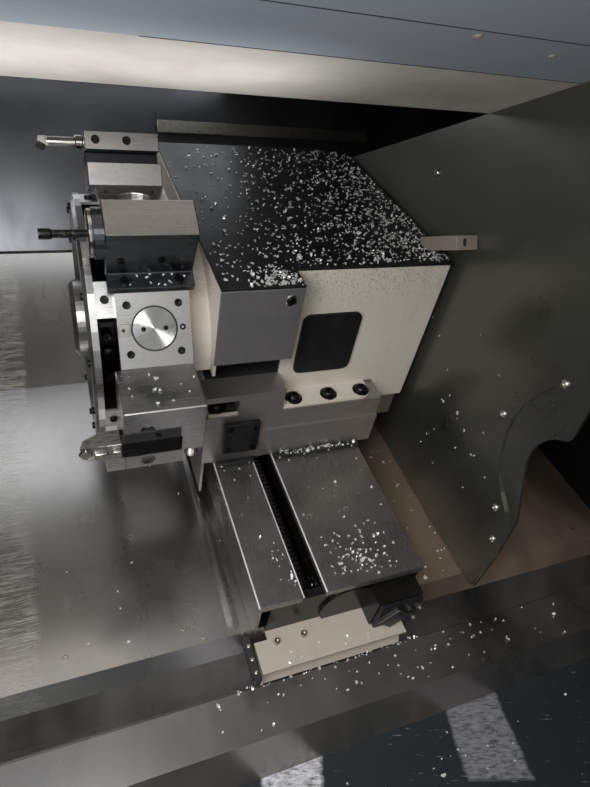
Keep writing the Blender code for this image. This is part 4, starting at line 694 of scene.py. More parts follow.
def finishes():
    """The finishes by name, made once."""
    cream = bpy.context.scene.lathe_colours.cream
    plug_out, _ = station_axes(30.0)
    plug = station(30.0, 0.0, 0.0, FACET_R)
    return {
        # Cream panels are painted near-black inside the cabinet beyond the right wall: painted shade.
        "cream": powder_coat(
            "polyester powder coat, cream", cream, dirt=0.1, roughness=0.56, gloss=0.3,
            inside=(*CABINET_INSIDE_SHADE, "#141516"),
        ),
        # The ceiling's front is painted grey-blue: painted shade in front of the lit band.
        "dusty cream": powder_coat(
            "polyester powder coat, cream, dusty", "#CFCAC4", dirt=0.45, roughness=0.5,
            inside=(*CEILING_FRONT_SHADE, "#9FA6B1"),
        ),
        "grey": powder_coat("polyester powder coat, grey", "#45484A", "#2B2A28"),
        "machine grey": cast_enamel("enamel on casting, grey", "#7C7C78", "#3B3833"),
        "black": black_enamel("baked enamel, black"),
        "saddle": part_machined("enamel and machined faces, saddle", "#AFA79B", "#3A3836", *SADDLE_MACHINED, 0.85),
        # The housing's recess is painted near-black and matt: painted shade.
        "housing": part_machined(
            "enamel and painted shade in the recess, housing", "#DDD5C8", "#2B2C2D", *HOUSING_RECESS_SHADE, 0.0, bare=0.5,
        ),
        # The drum is painted near-black in the gap behind its front ring: painted shade.
        "drum": ground_steel(
            "ground tool steel", "#BDBCBB", (60.0, 0.9, 0.9), 0.28, amount=0.35, black=drum_gap_shade,
        ),
        "low holder": ground_steel(
            "oxide holder with a ground top", "#8F8C8A", (45.0, 1.0, 1.0), 0.26, amount=0.45, black=under_top_face,
            oxide_and_shade_colour="#505356",
        ),
        # Near-black: the wedge's own black, dark joints, and painted shade in slots and vents.
        "dark": moulded("black wedge and painted shade", "#0C0D0D", 0.6),
        "plug": turned_face("turned plug", "#B4B4B3", 0.16, plug, plug_out.tolist(), 0.5, 0.3),
        # The high holder's neck is painted dark: painted shade under its head.
        "high holder": ground_steel(
            "ground holder with painted shade in its neck", "#B5B3B1", (45.0, 1.0, 1.0), 0.26, amount=0.45,
            black=neck_shade, oxide_and_shade_colour="#303134",
        ),
        "holder": ground_steel("ground holder steel", "#BEBCBA", (45.0, 1.0, 1.0), 0.26, amount=0.45),
        "slide": ground_steel("oiled slide steel", "#A7A29F", (60.0, 1.5, 1.5), 0.36, "#6B635C", 0.6, metal=0.75),
        "way": ground_steel("ground way steel", "#918E8C", (1.2, 80.0, 80.0), 0.25, "#625D58", 0.45, 0.003, 0.85),
        "guard": ground_steel(
            "polished guard steel", "#8F8C8F", (4.0, 70.0, 70.0), 0.34, "#6F6B6E", 0.6, metal=0.65,
        ),
        "left cover": rolled_sheet(
            "rolled steel, wiped and scuffed", "#B4B2B0", 0.25, scuff_edge=-0.183, haze=0.03,
        ),
        "fixed cover": rolled_sheet("rolled steel, bright", "#BEBCBA", 0.24, haze=0.25),
        "right cover": rolled_sheet("rolled steel, oily", "#B39F8C", 0.34, haze=0.8, dirt="#93806D"),
        "wall": rolled_sheet(
            "rolled steel, dark with oil", "#7A7B74", 0.3, on_slope=False, haze=0.6, dirt="#3B3B35",
        ),
        "back wall": rolled_sheet("rolled steel, dark", "#5F6064", 0.3, on_slope=False, haze=0.5, dirt="#3A3B3E"),
        "sill": rolled_sheet("rolled steel, splashed", "#9C9895", 0.28, on_slope=False, haze=0.35, dirt="#5C5750"),
        "pan": worn_pan("enamel pan, worn, with painted wet sheen", "#2A2E31", PAN_SHEEN_AND_WEAR),
        "taupe": powder_coat("polyester powder coat, taupe", "#8E857B", dirt=0.5),
        "shank": oxide_shank("black-oxide shank with a bare head", -0.056),
        "oxide": black_oxide("black-oxide steel"),
        "bright": bright_metal("nickelled steel", "#C9C7C2", 0.2),
        # Near-white, half-diffuse strips along the plate edges: painted highlight.
        "edge": bright_metal("steel edge, painted highlight", "#F0EEEA", 0.38, metal=0.3),
        "z thread": rolled_thread("ground thread, along the spindle", "#C2BFB9", ALONG.tolist(), 10.0),
        # The X screw's thread is painted dark, unlike the Z screw's: painted shade in its groove.
        "x thread": rolled_thread("ground thread, up the slope, painted shade", "#3B3936", UPHILL.tolist(), 8.0),
        "zinc": bright_metal("zinc-plated steel", "#B9B6AE", 0.3, (3.0, 3.0, 3.0)),
        "chuck": turned_face("turned chuck steel", "#B9B8B6", 0.22, SPINDLE, ALONG.tolist(), 0.6, 0.12),
        "aluminium": bright_metal("turned aluminium", "#C4C5C6", 0.32),
        "rubber": moulded("nitrile rubber, black", "#131313", 0.62, 2.0, 0.05),
        "plastic black": moulded("moulded nylon, black", "#17181A", 0.42),
        "red": moulded("moulded acetal, red", "#B3140F", 0.3),
        "green": moulded("moulded acetal, green", "#1E8A3C", 0.3),
        "key": moulded("moulded keys, pale grey", "#B9BCBD", 0.45),
        "glass": laminated_glass("laminated glass"),
        "lamp": opal_lamp("opal acrylic"),
        "display": lit_display("display glass"),
        "swarf": curled_chips("aluminium swarf", "#F2F2F0"),
    }


NODE_FINISHES = {
    "machine grey": ("bed_casting", "headstock_casting"),
    "way": ("z_rail_front", "z_rail_rear", "saddle_plate_left", "saddle_plate_right"),
    "black": ("spindle_motor", "z_motor", "x_motor", "housing_top_cover", "access_cover"),
    "wall": ("chuck_guard", "wall_guard_plate", "right_wall_panel"),
    "fixed cover": ("fixed_left_cover",),
    "left cover": ("left_way_cover",),
    "right cover": ("right_way_cover",),
    "sill": ("front_sill",),
    "pan": ("chip_pan",),
    "back wall": ("rear_wall",),
    "dusty cream": ("ceiling_panel",),
    "cream": (
        "left_side_panel", "right_side_panel", "back_panel", "roof_panel", "front_left_panel",
        "front_right_panel", "front_header", "door_frame",
    ),
    "grey": ("front_apron", "coolant_tank", "operator_panel"),
    "saddle": ("saddle_casting",),
    "housing": ("turret_housing",),
    "slide": ("slide_base",),
    "guard": ("front_guard_plate",),
    "drum": ("turret_drum",),
    "plug": ("station_plug",),
    "low holder": ("boring_holder_low",),
    "high holder": ("boring_holder_high",),
    "holder": ("turning_holder",),
    "bright": ("boring_bar_high", "spindle_shaft"),
    "z thread": ("z_screw",),
    "x thread": ("x_screw",),
    "shank": ("turning_tool",),
    "oxide": ("boring_bar_low",),
    "chuck": ("chuck_body", "chuck_jaw_1", "chuck_jaw_2", "chuck_jaw_3"),
    "aluminium": ("spindle_pulley", "motor_pulley"),
    "rubber": ("drive_belt",),
    "lamp": ("work_lamp",),
    "glass": ("door_window",),
    "display": ("panel_screen",),
    "red": ("emergency_stop",),
    "green": ("start_button",),
    "plastic black": ("feed_dial",),
}


class LatheSizes(bpy.types.PropertyGroup):
    """Sizes that a user may change."""

    station_screw: bpy.props.FloatProperty(
        name="Station screw", description="Head radius of the screws in the turret's faces",
        default=0.0044, min=0.002, max=0.005, unit="LENGTH",
    )
    foot_bolt: bpy.props.FloatProperty(
        name="Foot bolt", description="Head radius of the dome bolts along the housing's foot",
        default=0.011, min=0.005, max=0.013, unit="LENGTH",
    )
    swarf_length: bpy.props.FloatProperty(
        name="Swarf length", description="Length of an average chip",
        default=0.0041, min=0.001, max=0.02, unit="LENGTH",
    )
    swarf_amount: bpy.props.FloatProperty(
        name="Swarf amount", description="How much swarf lies about, against the amount in normal use",
        default=1.0, min=0.0, max=3.0, subtype="FACTOR",
    )
    door_seal: bpy.props.FloatProperty(
        name="Window seal", description="Width of the rubber seal round the door's window",
        default=0.01, min=0.004, max=0.02, unit="LENGTH",
    )


class LatheColours(bpy.types.PropertyGroup):
    """Colours that a user may change."""

    cream: bpy.props.FloatVectorProperty(
        name="Cream", description="Colour of the machine's pale paint", subtype="COLOR", size=4,
        default=linear("#D2CBC0"), min=0.0, max=1.0,
    )
    floor: bpy.props.FloatVectorProperty(
        name="Floor", description="Colour of the studio floor", subtype="COLOR", size=4,
        default=linear("#D3D3D1"), min=0.0, max=1.0,
    )


class LATHE_OT_finishes(bpy.types.Operator):
    """Gives every solid of the machine its finish."""

    bl_idname = "lathe.finishes"
    bl_label = "Finishes"

    def execute(self, context):
        FINISH.update(finishes())
        for finish, nodes in NODE_FINISHES.items():
            for node in nodes:
                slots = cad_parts[node].material_slots
                if not slots:
                    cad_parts[node].data.materials.append(FINISH[finish])
                for slot in slots:
                    slot.material = FINISH[finish]
        return {"FINISHED"}


class LATHE_OT_turret_details(bpy.types.Operator):
    """Screws, keys and spray nozzles on the turret's stations."""

    bl_idname = "lathe.turret_details"
    bl_label = "Turret details"

    def execute(self, context):
        radius = context.scene.lathe_sizes.station_screw
        places, caps, keys, key_hole_shades = [], [], [], []
        for i in range(STATIONS):
            angle = 360.0 * i / STATIONS
            if angle in TOOL_STATIONS:
                continue
            out, _ = station_axes(angle)
            places += [
                (station(angle, u, t, FACET_R - 0.0098), out) for u in (-0.031, 0.031) for t in (-0.03, 0.03)
            ]
            caps.append((station(angle, 0.0345, 0.0, FACET_R - 0.0006), out))
            keys.append((station(angle, -0.036, 0.0, FACET_R - 0.0002), out))
            key_hole_shades.append((station(angle, -0.0375, 0.0, FACET_R + 0.0011), out))
        fasten("station_screws", places, socket_screw(radius, 0.006), "oxide", "turret")
        fasten("station_pins", caps, dome_screw(0.0046, 0.001), "oxide", "turret")
        rows = [(0.0, 0.0), (0.0, 0.0008), (0.0004, 0.0012)]
        origins = np.array([origin for origin, _ in keys])
        axes = np.array([axes_for(normal) for _, normal in keys])
        key = set_down(pad_rings(0.015, 0.016, 0.001, rows), origins, axes)
        make_piece("station_keys", key, "bright", "turret")
        # Black discs in the key holes: painted shade.
        hole_shade_disc = [(0.0022, 0.0), (0.0022, 0.0002), (0.0018, 0.0003)]
        fasten("key_holes", key_hole_shades, hole_shade_disc, "plastic black", "turret", 16)

        out, _ = station_axes(30.0)
        joint = [(0.0268, 0.0), (0.0268, 0.0004), (0.0282, 0.0004), (0.0282, 0.0)]
        ring = turned_rings(joint, 72)
        points, faces = set_down(ring[[0, 1, 2, 3, 0]], [station(30.0, 0.0, 0.0, FACET_R + 0.0001)], axes_for(out))
        make_piece("plug_joint", (points, faces[:-2]), "dark", "turret")

        # Dark dished discs for the plug's two screw holes: painted shade.
        dots = [(station(30.0, u, 0.0, FACET_R + 0.0001), out) for u in (-0.0135, 0.0135)]
        plug_hole_shade = [(0.003, 0.0), (0.003, 0.0003), (0.0022, 0.0004), (0.0018, 0.0001)]
        fasten("plug_holes", dots, plug_hole_shade, "oxide", "turret", 16)

        blocks, jets, pipes = [], [], []
        for i in range(6):
            angle = 42.5 + 60.0 * i
            blocks.append((station(angle, -0.055, 0.0, FACET_R - 0.008), station_axes(angle)[0]))
            angle -= 27.0
            out, _ = station_axes(angle)
            jets.append((station(angle, -0.055, 0.0, 0.1275), out))
            pipes += [(station(angle, -0.055, t, 0.127), out) for t in (-0.03, 0.026)]
        fasten("block_screws", blocks, socket_screw(0.0052, 0.003), "oxide", "turret")
        ball = [(0.01, 0.0), (0.01, 0.008), (0.0085, 0.011), (0.0055, 0.0128), (0.003, 0.0132), (0.0024, 0.009)]
        fasten("spray_balls", jets, ball, "oxide", "turret", 20)
        pin = [(0.0062, 0.0), (0.0062, 0.016), (0.005, 0.018), (0.0028, 0.018, 6), (0.0028, 0.013, 6)]
        fasten("spray_pins", pipes, pin, "oxide", "turret", 20)
        rim = []
        for i in range(STATIONS):
            turn = 2 * np.pi * (i + 0.5) / STATIONS
            spoke = np.cos(turn) * UPHILL + np.sin(turn) * OUT
            rim.append((CENTRE + RING_FACE * ALONG + 0.158 * spoke, -ALONG))
        fasten("ring_screws", rim, socket_screw(0.005, 0.0035), "oxide", "turret")
        return {"FINISHED"}


class LATHE_OT_holder_details(bpy.types.Operator):
    """Screws, wedge, insert and collars on the tool holders."""

    bl_idname = "lathe.holder_details"
    bl_label = "Holder details"

    def execute(self, context):
        out, across = station_axes(120.0)
        side = [(station(120.0, u, -0.0399, FACET_R + 0.0585), -across) for u in (-0.038, 0.002)]
        fasten("high_holder_screws", side, socket_screw(0.0056, 0.0012), "oxide", "turret")
        collar = [(0.0075, 0.0), (0.0092, 0.0012), (0.0092, 0.0085), (0.008, 0.01)]
        place = [(station(120.0, -0.0521, 0.0, FACET_R + 0.0605), -ALONG)]
        fasten("high_bar_collar", place, collar, "bright", "turret", 32)
        tip = station(120.0, -0.106, -0.006, FACET_R + 0.053)
        rows = [(0.0006, 0.0), (0.0, 0.0006), (0.0, 0.0032), (0.0006, 0.0038)]
        insert = pad(0.0105, 0.009, 0.0012, rows, tip, -across, ALONG * 0.9 - out * 0.45)
        make_piece("high_bar_insert", insert, "oxide", "turret")

        out, across = station_axes(60.0)
        slant = 10.0 / 68.0
        face = -across + slant * out
        face = face / np.linalg.norm(face)
        flange = [(station(60.0, u, t, FACET_R + 0.0119), out) for t in (-0.042, 0.042) for u in (-0.03, 0.032)]
        sets = [(station(60.0, u, -0.0285, FACET_R + 0.0358), face) for u in (-0.035, 0.011)]
        fasten("low_holder_screws", flange, socket_screw(0.0062, 0.0034), "oxide", "turret")
        fasten("low_holder_set_screws", sets, socket_screw(0.005, 0.0012), "oxide", "turret")
        nut = [
            (0.0175, 0.0), (0.0262, 0.0), (0.027, 0.0012), (0.027, 0.0048), (0.0245, 0.006),
            (0.02, 0.0066), (0.0175, 0.0066),
        ]
        place = [(station(60.0, -0.0619, 0.0, FACET_R + 0.048), -ALONG)]
        fasten("low_bar_nut", place, nut, "bright", "turret", 40)

        out, across = station_axes(0.0)
        rows = [(0.0, 0.0), (0.0, 0.0052), (0.0006, 0.0058)]
        middle = station(0.0, -0.0145, 0.0087, FACET_R + 0.0721)
        wedge = pad(0.0575, 0.0154, 0.001, rows, middle, out)
        make_piece("tool_wedge", wedge, "dark", "turret")
        rows = [(0.0, 0.0), (0.0, 0.0005), (0.0005, 0.0009)]
        lip = pad(0.07, 0.0154, 0.001, rows, station(0.0, -0.0205, 0.0087, TURNING_TOP + 0.0001), out)
        make_piece("wedge_lip", lip, "dark", "turret")
        wedge_screws = [(station(0.0, -0.013, 0.0087, FACET_R + 0.0788), out)]
        fasten("wedge_screws", wedge_screws, socket_screw(0.0036, 0.001), "oxide", "turret")
        rows = [(0.0005, 0.0), (0.0, 0.0005), (0.0, 0.004), (0.0005, 0.0046)]
        for name, size, u, t, along, finish in (
            ("turning_insert", (0.012, 0.012, 0.0012), -0.096, -0.0065, ALONG + 0.9 * across, "bright"),
            ("turning_clamp", (0.016, 0.01, 0.003), -0.079, -0.0125, ALONG, "bright"),
            ("turning_seat", (0.009, 0.011, 0.001), -0.061, -0.013, ALONG, "zinc"),
        ):
            seat = station(0.0, u, t, TURNING_TOP + 0.0002)
            make_piece(name, pad(*size, rows, seat, out, along), finish, "turret")
        pin = [
            (0.0078, 0.0), (0.0084, 0.0006), (0.0084, 0.019), (0.0074, 0.0206),
            (0.0044, 0.0206, 6), (0.0044, 0.016, 6),
        ]
        place = [(station(0.0, 0.0315, -0.0258, TURNING_TOP - 0.012), -across)]
        fasten("holder_clamp_bolt", place, pin, "bright", "turret", 28)
        return {"FINISHED"}


class LATHE_OT_housing_details(bpy.types.Operator):
    """Dome bolts, stop plate, guard screw and scrapers on the turret's housing and slide."""

    bl_idname = "lathe.housing_details"
    bl_label = "Housing details"

    def execute(self, context):
        head = context.scene.lathe_sizes.foot_bolt
        washer = [(head * 1.28, 0.0), (head * 1.28, 0.0014), (head * 1.22, 0.0018)]
        seats = [(slope(u, -0.1345, -0.0828), OUT) for u in (0.221, 0.282, 0.341, 0.0955)]
        fasten("foot_bolt_washers", seats, washer, "oxide", "cross_slide")
        bolts = [(origin + 0.0018 * OUT, OUT) for origin, _ in seats]
        fasten("foot_bolts", bolts, dome_screw(head, head * 0.72), "oxide", "cross_slide")

        rows = [(0.0, 0.0), (0.0, 0.006), (0.001, 0.007)]
        middle = slope(0.1315, -0.1583, -0.1265)
        plate = pad(0.057, 0.064, 0.003, rows, middle, -UPHILL)
        make_piece("stop_plate", plate, "black", "cross_slide")
        corners = [
            (slope(0.1315 + a * 0.019, -0.1653, -0.1265 + b * 0.022), -UPHILL) for a in (-1, 1) for b in (-1, 1)
        ]
        fasten("stop_plate_screws", corners, socket_screw(0.0045, 0.0022), "oxide", "cross_slide")

        guard = [(slope(0.1765, SLIDE_FRONT - 0.0004, 0.118), -UPHILL)]
        ring = [(0.0088, 0.0), (0.0088, 0.0008), (0.008, 0.0012), (0.007, 0.0008)]
        fasten("guard_screw_ring", guard, ring, "bright", "cross_slide", 32)
        fasten("guard_screw", guard, socket_screw(0.0056, 0.0026), "oxide", "cross_slide")
        rows = [(0.0008, 0.0), (0.0, 0.0008), (0.0, 0.008), (0.0012, 0.0094)]
        scrapers = [
            pad(length, 0.01, 0.0015, rows, slope(u, SLIDE_FRONT - 0.011, PLATE_TOP + 0.0004), OUT)
            for u, length in ((0.1265, 0.06), (0.2715, 0.154))
        ]
        make_piece("slide_scrapers", join_meshes(*scrapers), "rubber", "cross_slide")
        held = [
            (slope(u, SLIDE_FRONT - 0.0161, PLATE_TOP + 0.0048), -UPHILL)
            for u in (0.104, 0.15, 0.203, 0.247, 0.292, 0.336)
        ]
        fasten("scraper_screws", held, dome_screw(0.0026, 0.0014), "zinc", "cross_slide")
        return {"FINISHED"}


class LATHE_OT_saddle_details(bpy.types.Operator):
    """Wiper, valve block, rounded plate edges with a painted highlight and screws round the saddle."""

    bl_idname = "lathe.saddle_details"
    bl_label = "Saddle details"

    def execute(self, context):
        bolt = [(0.0042, 0.0), (0.0042, 0.007), (0.0034, 0.008), (0.0022, 0.008, 6), (0.0022, 0.005, 6)]
        shelf = [(slope(u, -0.4245, SHELF_TOP + 0.0001), OUT) for u in (0.126, 0.167)]
        fasten("shelf_bolts", shelf, bolt, "zinc", "saddle")
        plates = [
            (slope(u, v, PLATE_TOP - 0.0004), OUT) for u, v in ((0.211, -0.287), (0.275, -0.288), (0.126, 0.06))
        ]
        fasten("plate_screws", plates, socket_screw(0.0056, 0.0006), "bright", "saddle")
        # Near-white strips along the plates' edges and the groove: painted highlight.
        rounds = []
        for u in (0.0951, 0.1581, 0.1929):
            path = slope(u, np.linspace(-0.4088, -0.154, 14), PLATE_TOP - 0.0014)
            rounds.append(as_mesh(tube_rings(path, 0.0013)))
        make_piece("plate_edges", join_meshes(*rounds), "edge", "saddle")
        rows = [(0.0006, 0.0), (0.0, 0.0006), (0.0, 0.015), (0.0015, 0.0165)]
        wiper = pad(0.011, 0.064, 0.003, rows, slope(0.0865, -0.436, -0.29), OUT)
        make_piece("saddle_wiper", wiper, "rubber", "saddle")
        held = [(slope(0.0865, v, -0.2735), OUT) for v in (-0.456, -0.438, -0.419)]
        fasten("wiper_screws", held, dome_screw(0.0034, 0.002), "zinc", "saddle")
        face = -0.4372
        block = pad(
            0.07, 0.056, 0.003, [(0.0006, 0.0), (0.0, 0.0006), (0.0, 0.006), (0.001, 0.007)],
            slope(0.305, face, -0.242), -UPHILL,
        )
        make_piece("valve_cover", block, "black", "saddle")
        turned = ALONG + OUT
        lozenge = pad(
            0.036, 0.036, 0.001, [(0.0, 0.0), (0.0, 0.0052), (0.0008, 0.006)],
            slope(0.296, face - 0.007, -0.244), -UPHILL, turned,
        )
        make_piece("valve_lid", lozenge, "plastic black", "saddle")
        ends = [slope(u, face - 0.0128, w) for u, w in ((0.269, -0.244), (0.296, -0.217), (0.3225, -0.244))]
        edges = [as_mesh(tube_rings(np.linspace(a, b, 4), 0.0005, 8)) for a, b in (ends[:2], ends[1:])]
        make_piece("valve_lid_edges", join_meshes(*edges), "zinc", "saddle")
        unions = [(slope(0.333, face - 0.007, z), -UPHILL) for z in (-0.226, -0.256)]
        fitting = [(0.006, 0.0, 6), (0.006, 0.005, 6), (0.004, 0.0056), (0.004, 0.009), (0.002, 0.0094)]
        fasten("valve_unions", unions, fitting, "zinc", "saddle")
        return {"FINISHED"}


class LATHE_OT_guard_details(bpy.types.Operator):
    """Screws, cover bead, bracket, rail and seams round the work."""

    bl_idname = "lathe.guard_details"
    bl_label = "Guard details"

    def execute(self, context):
        flush = [
            (slope(u, v, COVER_W - 0.0002), OUT)
            for u, v in ((-0.045, -0.209), (0.004, -0.372), (0.058, -0.372), (-0.15, -0.372))
        ]
        fasten("left_cover_screws", flush, socket_screw(0.0042, 0.0006), "zinc", "saddle")
        bead = pad(
            0.49, 0.018, 0.009, [(0.0, 0.0), (0.003, 0.0005), (0.006, 0.0009), (0.0085, 0.0011)],
            slope(0.073, -0.148, COVER_W), OUT, UPHILL,
        )
        make_piece("left_cover_bead", bead, "left cover", "saddle")
        right = [
            (slope(u, v, COVER_W - 0.0002), OUT)
            for u, v in ((0.38, -0.372), (0.4, -0.209), (0.56, -0.372), (0.72, -0.372))
        ]
        fasten("right_cover_screws", right, socket_screw(0.0042, 0.0006), "zinc", "saddle")
        wall = [
            (level(WALL_X + 0.0001, y, z), -ALONG)
            for y, z in (
                (-0.383, -0.076), (-0.281, -0.141), (-0.278, -0.286), (-0.276, -0.338), (-0.56, -0.06),
                (0.15, 0.18), (-0.1, 0.2),
            )
        ]
        fasten("wall_screws", wall, dome_screw(0.0062, 0.0042), "zinc", "machine")
        rows = [(0.0006, 0.0), (0.0, 0.0006), (0.0, 0.0194), (0.001, 0.0204)]
        bracket = pad(0.037, 0.09, 0.0012, rows, level(WALL_X - 0.0188, -0.16, 0.084), UP)
        make_piece("wall_bracket", bracket, "taupe", "machine")
        # A dark pad for the bracket's slot: painted shade.
        slot = pad(
            0.005, 0.011, 0.002, [(0.0, 0.0), (0.0002, 0.0004)], level(WALL_X - 0.023, -0.2051, 0.095), -AWAY,
        )
        make_piece("bracket_slot_shade", slot, "dark", "machine")
        seams = pad(
            0.82, 0.0018, 0.0006, [(0.0, 0.0), (0.0002, 0.0003)],
            [level(0.39, -0.463, CEILING_Z + 0.0001), level(0.39, -0.365, CEILING_Z + 0.0001)], -UP,
        )
        make_piece("ceiling_seams", seams, "dark", "machine")
        rail = pad(
            0.49, RAIL_WIDTH, 0.002, [(0.0, 0.0), (0.0, 0.003), (0.001, 0.004)],
            level(0.365, 0.4079, RAIL_Z), -AWAY,
        )
        make_piece("rear_rail", rail, "zinc", "machine")
        ceiling = [(level(x, y, CEILING_Z + 0.0001), -UP) for x, y in ((0.247, -0.452), (0.35, -0.43))]
        fasten("ceiling_screws", ceiling, dome_screw(0.0042, 0.0022), "taupe", "machine")
        return {"FINISHED"}


# Swarf: half the thickness of a chip, and its height above what it lies on
CHIP_HALF = 0.00022
CHIP_LIFT = 0.00012


def chips(rng, count, length):
    """Curled flakes. Along each, s runs from 0 to 1 and the angle c (s - 1/2) turns by the total curl c.

    The centre line is rho (sin(angle), 1 - cos(angle)), rho being length / c, and the width falls off as
    1 - 0.7 (2s - 1)^2. A flake is twice CHIP_HALF thick.
    """
    s = np.linspace(0.0, 1.0, 5)[None, :]
    long = length * rng.lognormal(0.0, 0.35, (count, 1))
    curl = rng.uniform(0.8, 3.6, (count, 1))
    rho = long / curl
    wide = 0.5 * long * rng.uniform(0.3, 0.75, (count, 1)) * (1 - 0.7 * (2 * s - 1) ** 2)
    turn = curl * (s - 0.5)
    x = rho * np.sin(turn)
    z = rho * (1 - np.cos(turn))
    twist = rng.uniform(-0.8, 0.8, (count, 1)) * (s - 0.5)
    corner_y = np.array([-1.0, 1.0, 1.0, -1.0])
    corner_n = np.array([-1.0, -1.0, 1.0, 1.0])
    across = wide[..., None] * corner_y
    rise = CHIP_HALF * corner_n
    return np.stack([
        x[..., None] - np.sin(turn)[..., None] * rise,
        across * np.cos(twist)[..., None],
        z[..., None] + np.cos(turn)[..., None] * rise + across * np.sin(twist)[..., None],
    ], -1)


def lay_chips(rng, chip_points, origins, normal):
    """Each chip turned at random about the surface's normal and rocked a little, then set on its place."""
    count = len(chip_points)
    base = axes_for(normal)
    spin = rng.uniform(0, 2 * np.pi, count)
    rock = rng.normal(0, 0.35, count)
    one, nil = np.ones(count), np.zeros(count)
    about = np.stack(
        [np.cos(spin), np.sin(spin), nil, -np.sin(spin), np.cos(spin), nil, nil, nil, one], -1,
    ).reshape(-1, 3, 3)
    tip = np.stack(
        [np.cos(rock), nil, np.sin(rock), nil, one, nil, -np.sin(rock), nil, np.cos(rock)], -1,
    ).reshape(-1, 3, 3)
    flip = np.where(rng.random(count) < 0.5, 1.0, -1.0)
    turned = np.einsum("nijk,nkl,nlm->nijm", chip_points, tip, about)
    turned[..., 2] *= flip[:, None, None]
    low = turned[..., 2].reshape(count, -1).min(1)
    turned[..., 2] += (CHIP_LIFT - low)[:, None, None]
    placed = origins[:, None, None, :] + turned @ base
    stations, corners = chip_points.shape[1:3]
    faces = []
    for i in range(count):
        ring = ring_faces(stations, corners, i * stations * corners)
        faces += ring if flip[i] > 0 else [face[::-1] for face in ring]
    return placed.reshape(-1, 3), faces


def scattered(rng, count, corner, edge_a, edge_b, weight):
    """Points on a parallelogram, corner + a edge_a + b edge_b, kept with a chance given by weight(a, b)."""
    found = []
    while len(found) < count:
        a, b = rng.random((2, 4000))
        keep = rng.random(4000) < weight(a, b)
        found.extend(np.stack([a[keep], b[keep]], -1).tolist())
    found = np.array(found[:count])
    return corner + found[:, :1] * edge_a + found[:, 1:] * edge_b


def evenly(a, b):
    """The same chance all over."""
    return 0.5 + 0 * a


def bed(u, v, w, along, up):
    """A parallelogram on the slope: its corner, its two edges and its normal."""
    return slope(u, v, w), along * ALONG, up * UPHILL, OUT


